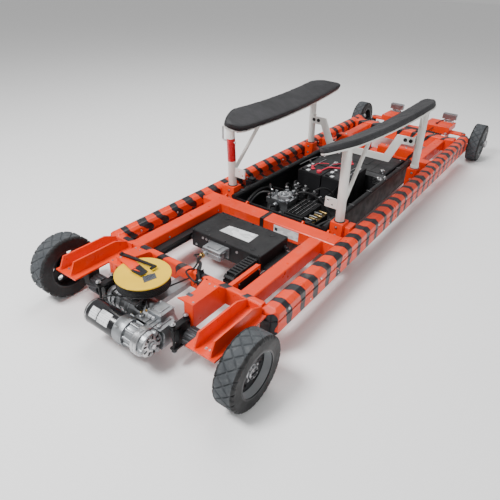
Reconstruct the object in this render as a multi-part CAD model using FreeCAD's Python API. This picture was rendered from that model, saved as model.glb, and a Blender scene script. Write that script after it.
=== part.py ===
import FreeCAD, Part
import math
import os

from FreeCAD import Vector

# A low battery-electric carrier that drives under its load and lifts it on two padded cradle rests.
# Millimetres. While the parts are made, X = 0 is the front axle, +X runs to the rear axle,
# +Y is the carrier's left and Z = 0 is the floor. Every solid is shifted along X when it is
# written, so that the origin ends up on the floor under the middle of the whole machine.

# ---- driving dimensions ----
WHEEL_R = 160.0
WHEEL_W = 98.0
TRACK = 1130.0
WHEELBASE = 3500.0
AXLE_Z = WHEEL_R

BEAM_TOP = 256.0
BEAM_BOTTOM = 112.0
BEAM_IN = 448.0
BEAM_OUT = 528.0
FRAME_FRONT = 240.0
FRAME_REAR = 3292.0

RAIL_IN = 306.0
RAIL_OUT = 379.0
RAIL_TOP = 241.0
RAIL_BOTTOM = 165.0

FRONT_CROSS = (248.0, 285.0)
SECOND_CROSS = (905.0, 1005.0)
THIRD_CROSS = (2420.0, 2500.0)
REAR_CROSS = (3080.0, 3170.0)

POST_R = 25.0
POST_FRONT = (1105.0, 374.0)
POST_REAR = (2176.0, 420.0)
SOCKET_TOP = 276.0
POST_RAKE = 5.0
POST_DEPTH = 160.0

PAD_THICK = 34.0
PAD_TILT = 21.0
PAD_Z = 697.0
PAD_SAG = 32.0
PAD_FRONT = 948.0
PAD_REAR = 2385.0

MOTOR_X = -126.0
MOTOR_Z = 150.0
MOTOR_R = 58.0
FLANGE_R = 63.9
REEL_CENTRE = (54.0, 48.0)
REEL_R = 123.0
REEL_TOP = 305.0
CARRIAGE = (555.0, 820.0)

FRONT_END = MOTOR_X - FLANGE_R
REAR_END = WHEELBASE + WHEEL_R
ORIGIN_X = (FRONT_END + REAR_END) / 2

RUN = 0.05
GAP = 0.4

X_AXIS = Vector(1, 0, 0)
Y_AXIS = Vector(0, 1, 0)
Z_AXIS = Vector(0, 0, 1)
POST_AXIS = Vector(-math.sin(math.radians(POST_RAKE)), 0, math.cos(math.radians(POST_RAKE)))


# ---- helpers ----
def box(x0, x1, y0, y1, z0, z1):
    return Part.makeBox(x1 - x0, y1 - y0, z1 - z0, Vector(x0, y0, z0))


def rod(axis, start, radius, length):
    return Part.makeCylinder(radius, length, Vector(*start), axis)


def ring(axis, start, outer, inner, length):
    return rod(axis, start, outer, length).cut(rod(axis, start, inner, length))


def prism_x(outline, x0, x1):
    """An outline of (y, z) corners pushed along X."""
    wire = Part.makePolygon([Vector(x0, y, z) for y, z in outline + outline[:1]])
    return Part.Face(wire).extrude(Vector(x1 - x0, 0, 0))


def prism_y(outline, y0, y1):
    """An outline of (x, z) corners pushed along Y."""
    wire = Part.makePolygon([Vector(x, y0, z) for x, z in outline + outline[:1]])
    return Part.Face(wire).extrude(Vector(0, y1 - y0, 0))


def prism_z(outline, z0, z1):
    """An outline of (x, y) corners pushed along Z."""
    wire = Part.makePolygon([Vector(x, y, z0) for x, y in outline + outline[:1]])
    return Part.Face(wire).extrude(Vector(0, 0, z1 - z0))


def union(shapes):
    whole = shapes[0]
    for shape in shapes[1:]:
        whole = whole.fuse(shape)
    return whole.removeSplitter()


def mirrored(shape):
    return shape.mirror(Vector(0, 0, 0), Y_AXIS)


def bar(start, end, radius):
    start, end = Vector(*start), Vector(*end)
    return Part.makeCylinder(radius, (end - start).Length, start, end - start)


def tube_along(points, radius, bend):
    """A round tube through points: straight runs joined by tangent arcs."""
    points = [Vector(*p) for p in points]
    edges, here = [], points[0]
    for before, corner, after in zip(points, points[1:], points[2:]):
        way_in = (corner - before).normalize()
        way_out = (after - corner).normalize()
        turn = way_in.getAngle(way_out)
        cut = bend * math.tan(turn / 2)
        first = corner - way_in * cut
        last = corner + way_out * cut
        middle_way = (way_out - way_in).normalize()
        middle = corner + middle_way * (bend / math.cos(turn / 2) - bend)
        edges.append(Part.LineSegment(here, first).toShape())
        edges.append(Part.Arc(first, middle, last).toShape())
        here = last
    edges.append(Part.LineSegment(here, points[-1]).toShape())
    path = Part.Wire(edges)
    section = Part.Wire(Part.Circle(points[0], points[1] - points[0], radius).toShape())
    return path.makePipeShell([section], True, False)


def write(name, *shapes):
    solids = []
    for shape in shapes:
        solids.extend(shape.Solids)
    whole = Part.makeCompound(solids) if len(solids) > 1 else solids[0]
    whole.translate(Vector(-ORIGIN_X, 0, 0))
    whole.exportStep("parts/%s.step" % name)
    print(name, len(solids), "solids", round(whole.Volume / 1e6, 3), "litres")


# ---- frame ----
def raked_rod(post, start, radius, length):
    """A rod along a cradle post's axis; start is measured from the socket's top."""
    x, y = post
    foot = Vector(x, y, SOCKET_TOP) + POST_AXIS * start
    return Part.makeCylinder(radius, length, foot, POST_AXIS)


def post_point(post, z):
    """The X of the post's axis at height z."""
    return post[0] - (z - SOCKET_TOP) * math.tan(math.radians(POST_RAKE))


def side_beam():
    """The left beam: an upper and a lower rail with a recessed seam between them."""
    seam_low, seam_high = 190.0, 196.0
    upper = prism_x(
        [
            (BEAM_IN, seam_high),
            (BEAM_OUT, seam_high),
            (BEAM_OUT, BEAM_TOP - 21),
            (BEAM_OUT - 21, BEAM_TOP),
            (BEAM_IN + 16, BEAM_TOP),
            (BEAM_IN, BEAM_TOP - 16),
        ],
        FRAME_FRONT,
        FRAME_REAR,
    )
    lower = prism_x(
        [
            (BEAM_IN, BEAM_BOTTOM + 10),
            (BEAM_IN + 10, BEAM_BOTTOM),
            (BEAM_OUT - 14, BEAM_BOTTOM),
            (BEAM_OUT, BEAM_BOTTOM + 14),
            (BEAM_OUT, seam_low),
            (BEAM_OUT - 7, seam_low),
            (BEAM_OUT - 7, seam_high),
            (BEAM_IN + 7, seam_high),
            (BEAM_IN + 7, seam_low),
            (BEAM_IN, seam_low),
        ],
        FRAME_FRONT,
        FRAME_REAR,
    )
    bevel = 26.0
    nose = prism_z(
        [
            (FRAME_FRONT - 1, BEAM_OUT + 1),
            (FRAME_FRONT + bevel, BEAM_OUT + 1),
            (FRAME_FRONT - 1, BEAM_OUT - bevel),
        ],
        0,
        300,
    )
    brow = prism_y(
        [
            (FRAME_FRONT - 1, BEAM_TOP + 1),
            (FRAME_FRONT + bevel, BEAM_TOP + 1),
            (FRAME_FRONT - 1, BEAM_TOP - bevel),
        ],
        0,
        600,
    )
    return [upper.cut(nose).cut(brow), lower.cut(nose)]


def beam_section(x_range, z0, z1, half, chamfer):
    """A cross member between the side beams, its long upper edges broken."""
    x0, x1 = x_range
    shoulder = z1 - chamfer
    outline = [(x0, z0), (x1, z0), (x1, shoulder), (x1 - chamfer, z1), (x0 + chamfer, z1), (x0, shoulder)]
    return prism_y(outline, -half, half)


def lug(x, y, z):
    """A lashing eye: a rounded plate across Y with a hole along Y."""
    plate = union([box(x - 14, x + 14, y - 5, y + 5, z - 24, z), rod(Y_AXIS, (x, y - 5, z), 14, 10)])
    return plate.cut(rod(Y_AXIS, (x, y - 6, z), 7, 12))


def middle_crossbeams():
    second = beam_section(SECOND_CROSS, 160, RAIL_TOP, BEAM_IN, 4)
    eyes = [lug(SECOND_CROSS[1] + 14, y, 232) for y in (-356, -195, 195, 356)]
    third = beam_section(THIRD_CROSS, 160, RAIL_TOP, BEAM_IN, 4)
    towers = []
    for side in (-1, 1):
        for near, far, top in ((40, 150, 288), (187, 318, 302)):
            y0, y1 = sorted((side * near, side * far))
            towers.append(box(THIRD_CROSS[0] + 2, THIRD_CROSS[1] - 2, y0, y1, RAIL_TOP - 1, top))
    return [union([second] + eyes), union([third] + towers)]


def inner_rails():
    rails = []
    for x0, x1 in ((FRONT_CROSS[1], SECOND_CROSS[0]), (THIRD_CROSS[1], REAR_CROSS[0])):
        rail = prism_x(
            [
                (RAIL_IN, RAIL_BOTTOM),
                (RAIL_OUT, RAIL_BOTTOM),
                (RAIL_OUT, RAIL_TOP - 5),
                (RAIL_OUT - 5, RAIL_TOP),
                (RAIL_IN + 5, RAIL_TOP),
                (RAIL_IN, RAIL_TOP - 5),
            ],
            x0,
            x1,
        )
        rails += [rail, mirrored(rail)]
    return rails


def wheel_arm():
    """The left arm: a floor plate over the axle with two upright plates, their noses cut back."""
    tip, root = -96.0, FRONT_CROSS[0]
    floor_z, floor_t, plate_t = 214.0, 8.0, 9.0
    inner, outer = 338.0, 482.0
    parts = [box(tip, root, inner, outer, floor_z, floor_z + floor_t)]
    for y in (372.0, 450.0):
        outline = [
            (tip + 8, floor_z + floor_t),
            (root, floor_z + floor_t),
            (root, 254),
            (172, 286),
            (-64, 286),
            (tip + 8, floor_z + floor_t + 14),
        ]
        parts.append(prism_y(outline, y, y + plate_t))
    parts.append(box(root - 8, root, inner, BEAM_IN, 170, 254))
    return union(parts).cut(box(FRAME_FRONT, root + 1, BEAM_IN, outer + 1, floor_z - 1, 300))


def front_box():
    """The left housing in front of the front crossbeam: a closed box under a wider top plate."""
    outline = [(37, 170), (FRONT_CROSS[0], 170), (FRONT_CROSS[0], 252), (205, 284), (37, 284)]
    shell = prism_y(outline, 206, 258)
    edges = [e for e in shell.Edges if abs(e.tangentAt(e.FirstParameter).z) > 0.9 and e.Vertexes[0].X < 40]
    shell = shell.makeFillet(5, edges)
    lip = [(37, 258), (37, 172), (66, 192), (120, 196), (175, 180), (205, 172), (205, 258)]
    plate = prism_z(lip, 284, 290)
    return union([shell, plate])


def post_socket(post):
    """A square socket block for one cradle post, with the plate that ties it to the side beam."""
    x, y = post
    size = 38.0
    plate_top = 258.0
    body = box(x - size, x + size, y - size, min(y + size, BEAM_IN), BEAM_BOTTOM, SOCKET_TOP)
    tie = box(x - size, x + size + 40, y - size, BEAM_IN, BEAM_BOTTOM, BEAM_BOTTOM + 60)
    if y + size < BEAM_IN:
        tie = union([tie, box(x - 18, x + 60, y + size, BEAM_IN, BEAM_BOTTOM, plate_top)])
    whole = union([body, tie])
    return whole.cut(raked_rod(post, -POST_DEPTH - 40, POST_R + RUN, 300))


HOUSING_TOP = 264.0


def rear_axle_beam():
    """The cross member over the rear axle, with the two raised housings and the kingpin yokes."""
    deck = box(REAR_CROSS[1], 3580, -300, 300, 150, 172)
    parts = [deck]
    for side in (-1, 1):
        y0, y1 = sorted((side * 92, side * 322))
        parts.append(box(3392, 3625, y0, y1, 218, HOUSING_TOP))
        y0, y1 = sorted((side * 130, side * 290))
        parts.append(box(3392, 3580, y0, y1, 172, 218))
        for z in (112, 196):
            y0, y1 = sorted((side * 300, side * 432))
            parts.append(box(WHEELBASE - 45, WHEELBASE + 45, y0, y1, z, z + 14))
            parts.append(rod(Z_AXIS, (WHEELBASE, side * 432, z), 24, 14))
    whole = union(parts + [box(WHEELBASE - 45, WHEELBASE + 45, -300, 300, 112, 150)])
    for side in (-1, 1):
        whole = whole.cut(rod(Z_AXIS, (WHEELBASE, side * 432, 100), 10 + RUN, 130))
    return whole


def frame_bolts():
    """White-headed bolts along the outer and inner faces of the side beams."""
    heads = []
    for x in (340, 620, 1300, 1750, 2300, 2850):
        for side in (-1, 1):
            outer_face, inner_face = side * (BEAM_OUT + 2.5), side * (BEAM_IN - 2.5)
            heads.append(rod(Y_AXIS, (x, outer_face - 2.5, 222), 6, 5))
            heads.append(rod(Y_AXIS, (x + 60, inner_face - 2.5, 222), 6, 5))
    return heads


# ---- power and drive ----
TRAY = (1040.0, 2400.0)
TRAY_HALF = 324.0
TRAY_FLOOR = 74.0


def battery_tray():
    """An open tray hung between the sockets, its long edges rolled over."""
    x0, x1 = TRAY
    half, wall = TRAY_HALF, 6.0
    shell = box(x0, x1, -half, half, TRAY_FLOOR, 232)
    shell = shell.cut(box(x0 + wall, x1 - wall, -half + wall, half - wall, TRAY_FLOOR + wall, 240))
    rims = [rod(X_AXIS, (x0, side * (half - 9), 232), 17, x1 - x0) for side in (-1, 1)]
    tabs = [box(SECOND_CROSS[1], x0 + 3, y, y + 50, 168, 200) for y in (-300, 250)]
    tabs += [box(x1 - 3, THIRD_CROSS[0], y, y + 50, 168, 200) for y in (-300, 250)]
    return union([shell] + rims + tabs)


BATTERY_X = (1585.0, 1915.0)
BATTERY_Y = ((8.0, 180.0), (-172.0, 0.0))
BATTERY_TOP = 286.0


def batteries():
    cells = []
    for y0, y1 in BATTERY_Y:
        case = box(BATTERY_X[0], BATTERY_X[1], y0, y1, 80, BATTERY_TOP - 22)
        lid = box(BATTERY_X[0] - 3, BATTERY_X[1] + 3, y0 + 0.5, y1 - 0.5, BATTERY_TOP - 22, BATTERY_TOP)
        cells.append(union([case, lid]))
    return cells


def battery_terminals():
    """A rubber terminal cap on each battery, and the lead that joins them."""
    caps = []
    for y in (40.0, -140.0):
        caps.append(rod(Z_AXIS, (BATTERY_X[0] + 34, y, BATTERY_TOP), 17, 16))
    lead = tube_along(
        [
            (BATTERY_X[0] + 55, 40, BATTERY_TOP + 7),
            (BATTERY_X[0] + 150, 30, BATTERY_TOP + 7),
            (BATTERY_X[0] + 190, -50, BATTERY_TOP + 7),
        ],
        5,
        36,
    )
    return caps + [lead]


def hydraulic_motor():
    """The pump's electric motor: a ribbed block lying along X on the tray's floor."""
    core = box(1110, 1330, -140, -20, 82, 212)
    for step in range(8):
        y = -135 + step * 14.5
        core = core.cut(box(1100, 1340, y + 4, y + 10, 196, 220))
    return core


def hydraulic_pump():
    """The pump: a cast body with a round gear cover, a relief valve and pipe stubs."""
    body = box(1200, 1305, 20, 140, 82, 222)
    cover = rod(Z_AXIS, (1253, 80, 222), 44, 24)
    valve = rod(X_AXIS, (1305, 80, 170), 24, 60)
    stubs = [rod(Z_AXIS, (1225 + 55 * k, 155, 82), 9, 160) for k in range(2)]
    whole = union([body, cover, valve, box(1205, 1300, 138, 170, 140, 180)])
    return [whole.cut(stubs[0]).cut(stubs[1])] + stubs


def charger_box():
    """The charger and controller housing behind the batteries, with louvres and a switch boss."""
    x0, x1 = 1930.0, 2330.0
    case = prism_y([(x0, 84), (x1, 84), (x1, 250), (x0 + 30, 250), (x0, 232)], -290, 240)
    for row in range(4):
        z = 184 + row * 11
        case = case.cut(box(x0 - 1, x0 + 6, -285, -205, z, z + 5))
    return union([case, rod(Z_AXIS, (x0 + 60, -262, 250), 17, 6)])


def isolator_knob():
    """The round battery isolator knob on the charger housing, with a grip bar."""
    x, y, z = 1990.0, -262.0, 256.0 + RUN
    return union([rod(Z_AXIS, (x, y, z), 15, 9), box(x - 13, x + 13, y - 4, y + 4, z + 9, z + 19)])


def transaxle_housing():
    """The differential housing on the axle line, its side cones and the terminal box on top."""
    carrier = rod(Y_AXIS, (0, -120, AXLE_Z), 68, 170)
    tube = rod(Y_AXIS, (0, 50, AXLE_Z), 50, 130)
    cone = Part.makeCone(50, 34, 26, Vector(0, 180, AXLE_Z), Y_AXIS)
    cone_right = Part.makeCone(62, 34, 60, Vector(0, -120, AXLE_Z), Vector(0, -1, 0))
    step = box(-90, 0, -190, -40, AXLE_Z - 60, AXLE_Z + 40)
    lid = box(-45, 30, -155, -80, AXLE_Z + 10, AXLE_Z + 70)
    hanger = box(40, FRONT_CROSS[0], -50, 20, AXLE_Z + 10, AXLE_Z + 38)
    whole = union([carrier, tube, cone, cone_right, step, lid, hanger])
    shaft_room = rod(Y_AXIS, (0, -210, AXLE_Z), 13 + RUN, 430)
    motor_room = rod(Y_AXIS, (MOTOR_X, -300, MOTOR_Z), FLANGE_R, 600)
    return whole.cut(shaft_room).cut(motor_room)


def drive_motor():
    """The drive motor's can, lying across the front."""
    can = rod(Y_AXIS, (MOTOR_X, -12, MOTOR_Z), MOTOR_R, 190)
    return can.makeFillet(6, [e for e in can.Edges if e.CenterOfMass.y > 170 and e.Length > 300])


def gear_head():
    """The motor's end bell and the reduction head, with a flange ring, mounting ears and an end boss."""
    bell = rod(Y_AXIS, (MOTOR_X, -64, MOTOR_Z), MOTOR_R + 4, 52)
    neck = rod(Y_AXIS, (MOTOR_X, -120, MOTOR_Z), 50, 56)
    flange = rod(Y_AXIS, (MOTOR_X, -152, MOTOR_Z), FLANGE_R, 32)
    end = rod(Y_AXIS, (MOTOR_X, -176, MOTOR_Z), 54, 24)
    boss = rod(Y_AXIS, (MOTOR_X, -190, MOTOR_Z), 18, 14)
    ears = []
    for turn in (60, 180, 300):
        ear_x = MOTOR_X + 50 * math.cos(math.radians(turn))
        ear_z = MOTOR_Z + 50 * math.sin(math.radians(turn))
        ears.append(rod(Y_AXIS, (ear_x, -182, ear_z), 11, 22))
    return union([bell, neck, flange, end, boss] + ears)


CLAMP_BOLTS = (-52, 24)


def axle_clamps():
    """Saddle clamps that hang the axle from the arms: two plates and two bolts round a bearing."""
    blocks = []
    for side in (-1, 1):
        y0, y1 = sorted((side * 214, side * 242))
        block = box(-34, 34, y0, y1, AXLE_Z - 38, AXLE_Z + 38)
        plates = [box(-62, 34, y0, y1, z, z + 10) for z in (AXLE_Z - 60, AXLE_Z + 48)]
        necks = [box(-16, 16, y0, y1, AXLE_Z + z, AXLE_Z + z + 12) for z in (-50, 37)]
        bolts = [rod(Z_AXIS, (x, side * 228, AXLE_Z - 68), 6, 136) for x in CLAMP_BOLTS]
        heads = [rod(Z_AXIS, (x, side * 228, AXLE_Z + 58), 11, 8) for x in CLAMP_BOLTS]
        nuts = [rod(Z_AXIS, (x, side * 228, AXLE_Z - 68), 11, 8) for x in CLAMP_BOLTS]
        clamp = union([block] + plates + necks + bolts + heads + nuts)
        hanger = box(-16, 45, *sorted((side * 352, side * 392)), AXLE_Z - 30, 214)
        bore = rod(Y_AXIS, (0, -600, AXLE_Z), 13 + RUN, 1200)
        blocks += [clamp.cut(bore), hanger.cut(bore)]
    return blocks


def drive_axle():
    """The left half shaft with its knurled coupling and the wheel's hub flange."""
    shaft = rod(Y_AXIS, (0, 6, AXLE_Z), 13, TRACK / 2 - 6)
    coupling = rod(Y_AXIS, (0, 268, AXLE_Z), 45, 56)
    for step in range(16):
        turn = math.radians(step * 22.5)
        groove = rod(Y_AXIS, (48 * math.cos(turn), 260, AXLE_Z + 48 * math.sin(turn)), 6, 70)
        coupling = coupling.cut(groove)
    flange = rod(Y_AXIS, (0, TRACK / 2 - 22, AXLE_Z), 48, 22)
    cap = rod(Y_AXIS, (0, TRACK / 2 - 8, AXLE_Z), 24, 38)
    slot = box(-30, 30, TRACK / 2 + 20, TRACK / 2 + 40, AXLE_Z - 4, AXLE_Z + 4)
    return union([shaft, coupling, flange, cap]).cut(slot)


# ---- wheels ----
def tyre(x, side):
    """A solid tyre with rounded shoulders."""
    inner_r, half = 104.0, WHEEL_W / 2
    y = side * TRACK / 2
    body = ring(Y_AXIS, (x, y - half, AXLE_Z), WHEEL_R, inner_r, WHEEL_W)
    shoulders = [e for e in body.Edges if abs(e.Length - 2 * math.pi * WHEEL_R) < 1]
    return body.makeFillet(12, shoulders)


def rim(x, bore):
    """The left pressed steel rim: a barrel and a disc with round windows."""
    half = WHEEL_W / 2
    y = TRACK / 2
    barrel = ring(Y_AXIS, (x, y - half + 6, AXLE_Z), 104, 97, WHEEL_W - 12)
    disc = rod(Y_AXIS, (x, y, AXLE_Z), 97, 10)
    for step in range(6):
        turn = math.radians(60 * step)
        window = (x + 72 * math.cos(turn), y - 20, AXLE_Z + 72 * math.sin(turn))
        disc = disc.cut(rod(Y_AXIS, window, 15, 40))
    disc = disc.cut(rod(Y_AXIS, (x, y - 20, AXLE_Z), bore, 40))
    return union([barrel, disc])


def rear_hub(side):
    """A rear wheel's bearing hub: a flange behind the rim's disc, a nose and a round knob on the end."""
    y = side * TRACK / 2
    x = WHEELBASE
    outward = Vector(0, side, 0)
    flange = rod(outward, (x, y - side * 22, AXLE_Z), 48, 22)
    nose = rod(outward, (x, y, AXLE_Z), 22, 62)
    knob = rod(outward, (x, y + side * 62, AXLE_Z), 27, 20)
    bore = rod(outward, (x, y - side * 30, AXLE_Z), 14 + RUN, 50)
    return union([flange, nose, knob]).cut(bore)


def knuckle(side):
    """A rear steering knuckle: kingpin, upright, stub axle and steering arm."""
    x, y = WHEELBASE, side * 432
    block = rod(Z_AXIS, (x, y, 127), 22, 68)
    pin = rod(Z_AXIS, (x, y, 112), 10, 98)
    outward = Vector(0, side, 0)
    stub = rod(outward, (x, y, AXLE_Z), 14, TRACK / 2 + 15 - 432)
    shoulder = rod(outward, (x, y, AXLE_Z), 20, 70)
    arm = box(x - 120, x, y - 8, y + 8, 168, 184)
    eye = rod(Z_AXIS, (x - 120, y, 168), 14, 16)
    return union([block, pin, stub, shoulder, arm, eye])


RACK_X = WHEELBASE - 160
RACK_Z = 196.0
RACK_R = 12.0


def steering_rack():
    """The rack bar that slides across the machine, with a ball housing on each end."""
    parts = [rod(Y_AXIS, (RACK_X, -330, RACK_Z), RACK_R, 660)]
    for side in (-1, 1):
        parts.append(rod(Z_AXIS, (RACK_X, side * 330, RACK_Z - 16), 14, 32))
    return union(parts)


def tie_rods():
    """The links that run from the rack's ball housings towards the steering arms' eyes."""
    rods = []
    for side in (-1, 1):
        near = (RACK_X, side * 347, RACK_Z)
        far = (RACK_X + 29, side * 408, RACK_Z)
        rods.append(bar(near, far, 7))
    return rods


def rack_housing():
    """The tube in which the steering rack slides."""
    tube = rod(Y_AXIS, (RACK_X, -220, RACK_Z), 24, 440)
    feet = [box(RACK_X - 24, RACK_X + 24, y, y + 40, 172, 182) for y in (-200, 160)]
    return union([tube] + feet).cut(rod(Y_AXIS, (RACK_X, -300, RACK_Z), RACK_R + RUN, 600))


# ---- reel ----
def reel_drum():
    """The yellow drum: two flanges on a hollow core."""
    x, y = REEL_CENTRE
    low = REEL_TOP - 52
    top = rod(Z_AXIS, (x, y, REEL_TOP - 6), REEL_R, 6)
    bottom = rod(Z_AXIS, (x, y, low), REEL_R - 3, 5)
    core = rod(Z_AXIS, (x, y, low), 45, 50)
    return union([top, bottom, core]).cut(rod(Z_AXIS, (x, y, low - 1), 10 + RUN, 70))


def reel_cable():
    """The charging cable's winding, as one closed ring between the flanges."""
    x, y = REEL_CENTRE
    return ring(Z_AXIS, (x, y, REEL_TOP - 47), REEL_R - 8, 45, 41)


def reel_bracket():
    """The striped arm from the left housing over the drum, with the spindle that the drum turns on."""
    x, y = REEL_CENTRE
    arm_z = REEL_TOP + 3
    outline = [(60, 226), (110, 226), (x + 16, y - 14), (x - 20, y - 14), (x - 24, y + 30)]
    arm = prism_z(outline, arm_z, arm_z + 6)
    foot = box(60, 110, 196, 226, 290, arm_z + 6)
    spindle = rod(Z_AXIS, (x, y, 252), 10, arm_z - 252)
    plate = box(x - 30, x + 30, y - 30, y + 30, 246, 252)
    return union([arm, foot, spindle, plate])


LATCH_PIVOT = (84.0, 214.0)
LATCH_TIP = (108.0, 34.0)


def reel_latch():
    """The hooked lever over the drum, turning on a pin on the striped arm's foot."""
    x, y = LATCH_PIVOT
    tip_x, tip_y = LATCH_TIP
    foot_top, z = REEL_TOP + 9, REEL_TOP + 12
    post = rod(Z_AXIS, (x, y, foot_top + GAP), 8, z + 7 - foot_top - GAP)
    lever = prism_z([(x - 9, y + 10), (x + 9, y + 10), (tip_x + 6, tip_y), (tip_x - 6, tip_y)], z, z + 7)
    hook = box(tip_x - 26, tip_x + 6, tip_y - 12, tip_y, z, z + 7)
    return union([post, lever, hook])


# ---- sliding carriage ----
CARRIAGE_HALF = 224.0


def carriage_box():
    """The control housing that runs on the slides: a shallow box with corner screws."""
    x0, x1 = CARRIAGE
    lid = box(x0, x1, -CARRIAGE_HALF, CARRIAGE_HALF, 148, 243)
    corners = [e for e in lid.Edges if abs(e.tangentAt(e.FirstParameter).z) > 0.9]
    lid = lid.makeFillet(10, corners)
    wells = [rod(Z_AXIS, (x, y, 240), 15, 5) for x in (600, 775) for y in (-150, 150)]
    for well in wells:
        lid = lid.cut(well)
    shoes = []
    for side in (-1, 1):
        y0, y1 = sorted((side * CARRIAGE_HALF, side * 262))
        shoes.append(box(x0 + 30, x1 - 30, y0, y1, 160, 176))
    return union([lid] + shoes)


def carriage_slides():
    """The black slide channels on the inner faces of the front rails."""
    slides = []
    for side in (-1, 1):
        y0, y1 = sorted((side * (262 + GAP), side * RAIL_IN))
        back = box(330, 880, y0, y1, 150, 190)
        groove_y = sorted((side * (262 - 1), side * (262 + 6)))
        slides.append(back.cut(box(320, 890, *groove_y, 158, 178)))
    return slides


def carriage_connector():
    """The industrial plug hood on the carriage's front face."""
    x0 = CARRIAGE[0]
    hood = box(x0 - 68, x0, -28, 92, 168, 222)
    hood = hood.makeFillet(8, [e for e in hood.Edges if e.CenterOfMass.x < x0 - 5])
    gland = rod(X_AXIS, (x0 - 90, 66, 190), 13, 28)
    return union([hood, gland])


def control_cable():
    """The cable from the plug hood to its clip on the front crossbeam."""
    points = [
        (CARRIAGE[0] - 92, 66, 190),
        (CARRIAGE[0] - 140, 62, 184),
        (360, 10, 216),
        (312, -62, 268),
        (262, -92, 268),
    ]
    return tube_along(points, 8, 26)


def energy_chain():
    """The chain in its U: an upper run to the carriage, the bend, and a lower run below it."""
    low, high, width = 150.0, 232.0, 56.0
    y = -214.0
    mid, reach = (low + high) / 2, (high - low) / 2
    runs = box(390, CARRIAGE[0] - GAP, y, y + width, low, high)
    outer = union([runs, rod(Y_AXIS, (390, y, mid), reach, width)])
    inner_reach = reach - 24
    room = union(
        [
            box(390, 600, y - 1, y + width + 1, mid - inner_reach, mid + inner_reach),
            rod(Y_AXIS, (390, y - 1, mid), inner_reach, width + 2),
        ]
    )
    return outer.cut(room)


def chain_guide():
    """The folded guide that keeps the chain off the right rail."""
    upright = box(FRONT_CROSS[1], 510, -262, -257, 165, 246)
    ledge = box(FRONT_CROSS[1], 510, -257, -236, 236, 241)
    return union([upright, ledge])


# ---- cradle ----
PAD_INNER = ((0, -24), (25, -62), (60, -84), (110, -92), (1400, -92), (1437, -84))
PAD_OUTER = ((0, 4), (34, 30), (94, 62), (146, 82), (190, 92), (1190, 92), (1270, 72), (1336, 40),
             (1437, -50))


def across_at(outline, along):
    """The pad outline's distance from the middle line, read between its corners."""
    for (a0, t0), (a1, t1) in zip(outline, outline[1:]):
        if a0 <= along <= a1:
            return t0 + (t1 - t0) * (along - a0) / (a1 - a0)
    return outline[-1][1]


def pad_point(along, across, drop):
    """A point of the left pad: along its length, across its width, drop below its top."""
    run = along / (PAD_REAR - PAD_FRONT)
    tilt = math.radians(PAD_TILT)
    y = 314.0 + 79.5 * run + across * math.cos(tilt) + drop * math.sin(tilt)
    z = PAD_Z + PAD_SAG * (2 * run - 1) ** 2 + 3.4 * (2 * run - 1)
    z += across * math.sin(tilt) - drop * math.cos(tilt)
    return Vector(PAD_FRONT + along, y, z)


def pad_stations():
    corners = {a for a, _ in PAD_INNER + PAD_OUTER}
    length = PAD_REAR - PAD_FRONT
    return sorted(corners | {length * step / 10 for step in range(3, 8)})


def pad_slab(inset, top, bottom):
    """A long slab that follows the pad's outline and sag, between two depths below its top."""
    sections = []
    for along in pad_stations():
        low = across_at(PAD_INNER, along) + inset
        high = across_at(PAD_OUTER, along) - inset
        corners = [
            pad_point(along, low, top),
            pad_point(along, high, top),
            pad_point(along, high, bottom),
            pad_point(along, low, bottom),
        ]
        sections.append(Part.makePolygon(corners + corners[:1]))
    return Part.makeLoft(sections, True, True)


def cradle_pad():
    return pad_slab(0, 0, PAD_THICK)


PLATE_TOP = PAD_THICK + GAP
PLATE_BOTTOM = PLATE_TOP + 8.0


def pad_plate():
    """The steel plate under the pad."""
    return pad_slab(8, PLATE_TOP, PLATE_BOTTOM)


def over_plate():
    """Everything above the left plate's underside, to trim posts and braces to it."""
    sections = []
    for along in pad_stations():
        corners = [
            pad_point(along, -160, PLATE_BOTTOM - 300),
            pad_point(along, 200, PLATE_BOTTOM - 300),
            pad_point(along, 200, PLATE_BOTTOM),
            pad_point(along, -160, PLATE_BOTTOM),
        ]
        sections.append(Part.makePolygon(corners + corners[:1]))
    return Part.makeLoft(sections, True, True)


PIN_Z = 560.0
PIN_X = post_point(POST_FRONT, PIN_Z)
PIN_R = 5.0


def cradle_posts():
    """The left pair of raked posts; the front one has the cross hole for the lock pin."""
    trim = over_plate()
    front, rear = [raked_rod(post, -POST_DEPTH, POST_R, 700).cut(trim) for post in (POST_FRONT, POST_REAR)]
    hole = rod(Y_AXIS, (PIN_X, POST_FRONT[1] - 40, PIN_Z), PIN_R + RUN, 80)
    return [front.cut(hole), rear]


def cradle_braces():
    """The front post's raking brace and the rear post's gusset, both under the left plate."""
    trim = over_plate()
    x, y = POST_FRONT
    rake = bar((x + 4, y, 360), (x + 350, 352, 720), 11).cut(trim)
    rake = rake.cut(raked_rod(POST_FRONT, -POST_DEPTH, POST_R, 700))
    x, y = POST_REAR
    root = post_point(POST_REAR, 560)
    gusset = prism_y([(root, 540), (root - 30, 760), (root - 175, 760)], y - 5, y + 5).cut(trim)
    gusset = gusset.cut(raked_rod(POST_REAR, -POST_DEPTH, POST_R, 700))
    return rake.Solids + gusset.Solids


STUB_HOLES_LEFT = ((292, 358), (320, 380))
STUB_HOLES_RIGHT = ((292, 380), (320, 358))
STUB_THICK = 8.0
STUB_X = post_point(POST_FRONT, 369)


def stub_bracket(holes):
    """The plate on a front post's inner side, with two fixing holes set on the slant."""
    x, y = STUB_X, POST_FRONT[1]
    plate = box(x - STUB_THICK / 2, x + STUB_THICK / 2, 276, y - POST_R + 6, 340, 398)
    plate = plate.cut(raked_rod(POST_FRONT, -POST_DEPTH, POST_R, 700))
    for hole_y, hole_z in holes:
        plate = plate.cut(rod(X_AXIS, (x - 10, hole_y, hole_z), 5.5, 20))
    return plate


BRACE_TOP = 503.0
BRACE_LOW = 290.0
BRACE_END = POST_REAR[1] - POST_R
BRACE_HOLES = (338.0, 376.0)
BRACE_HOLE_Z = 478.0
BRACE_AHEAD = 50.0


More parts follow.
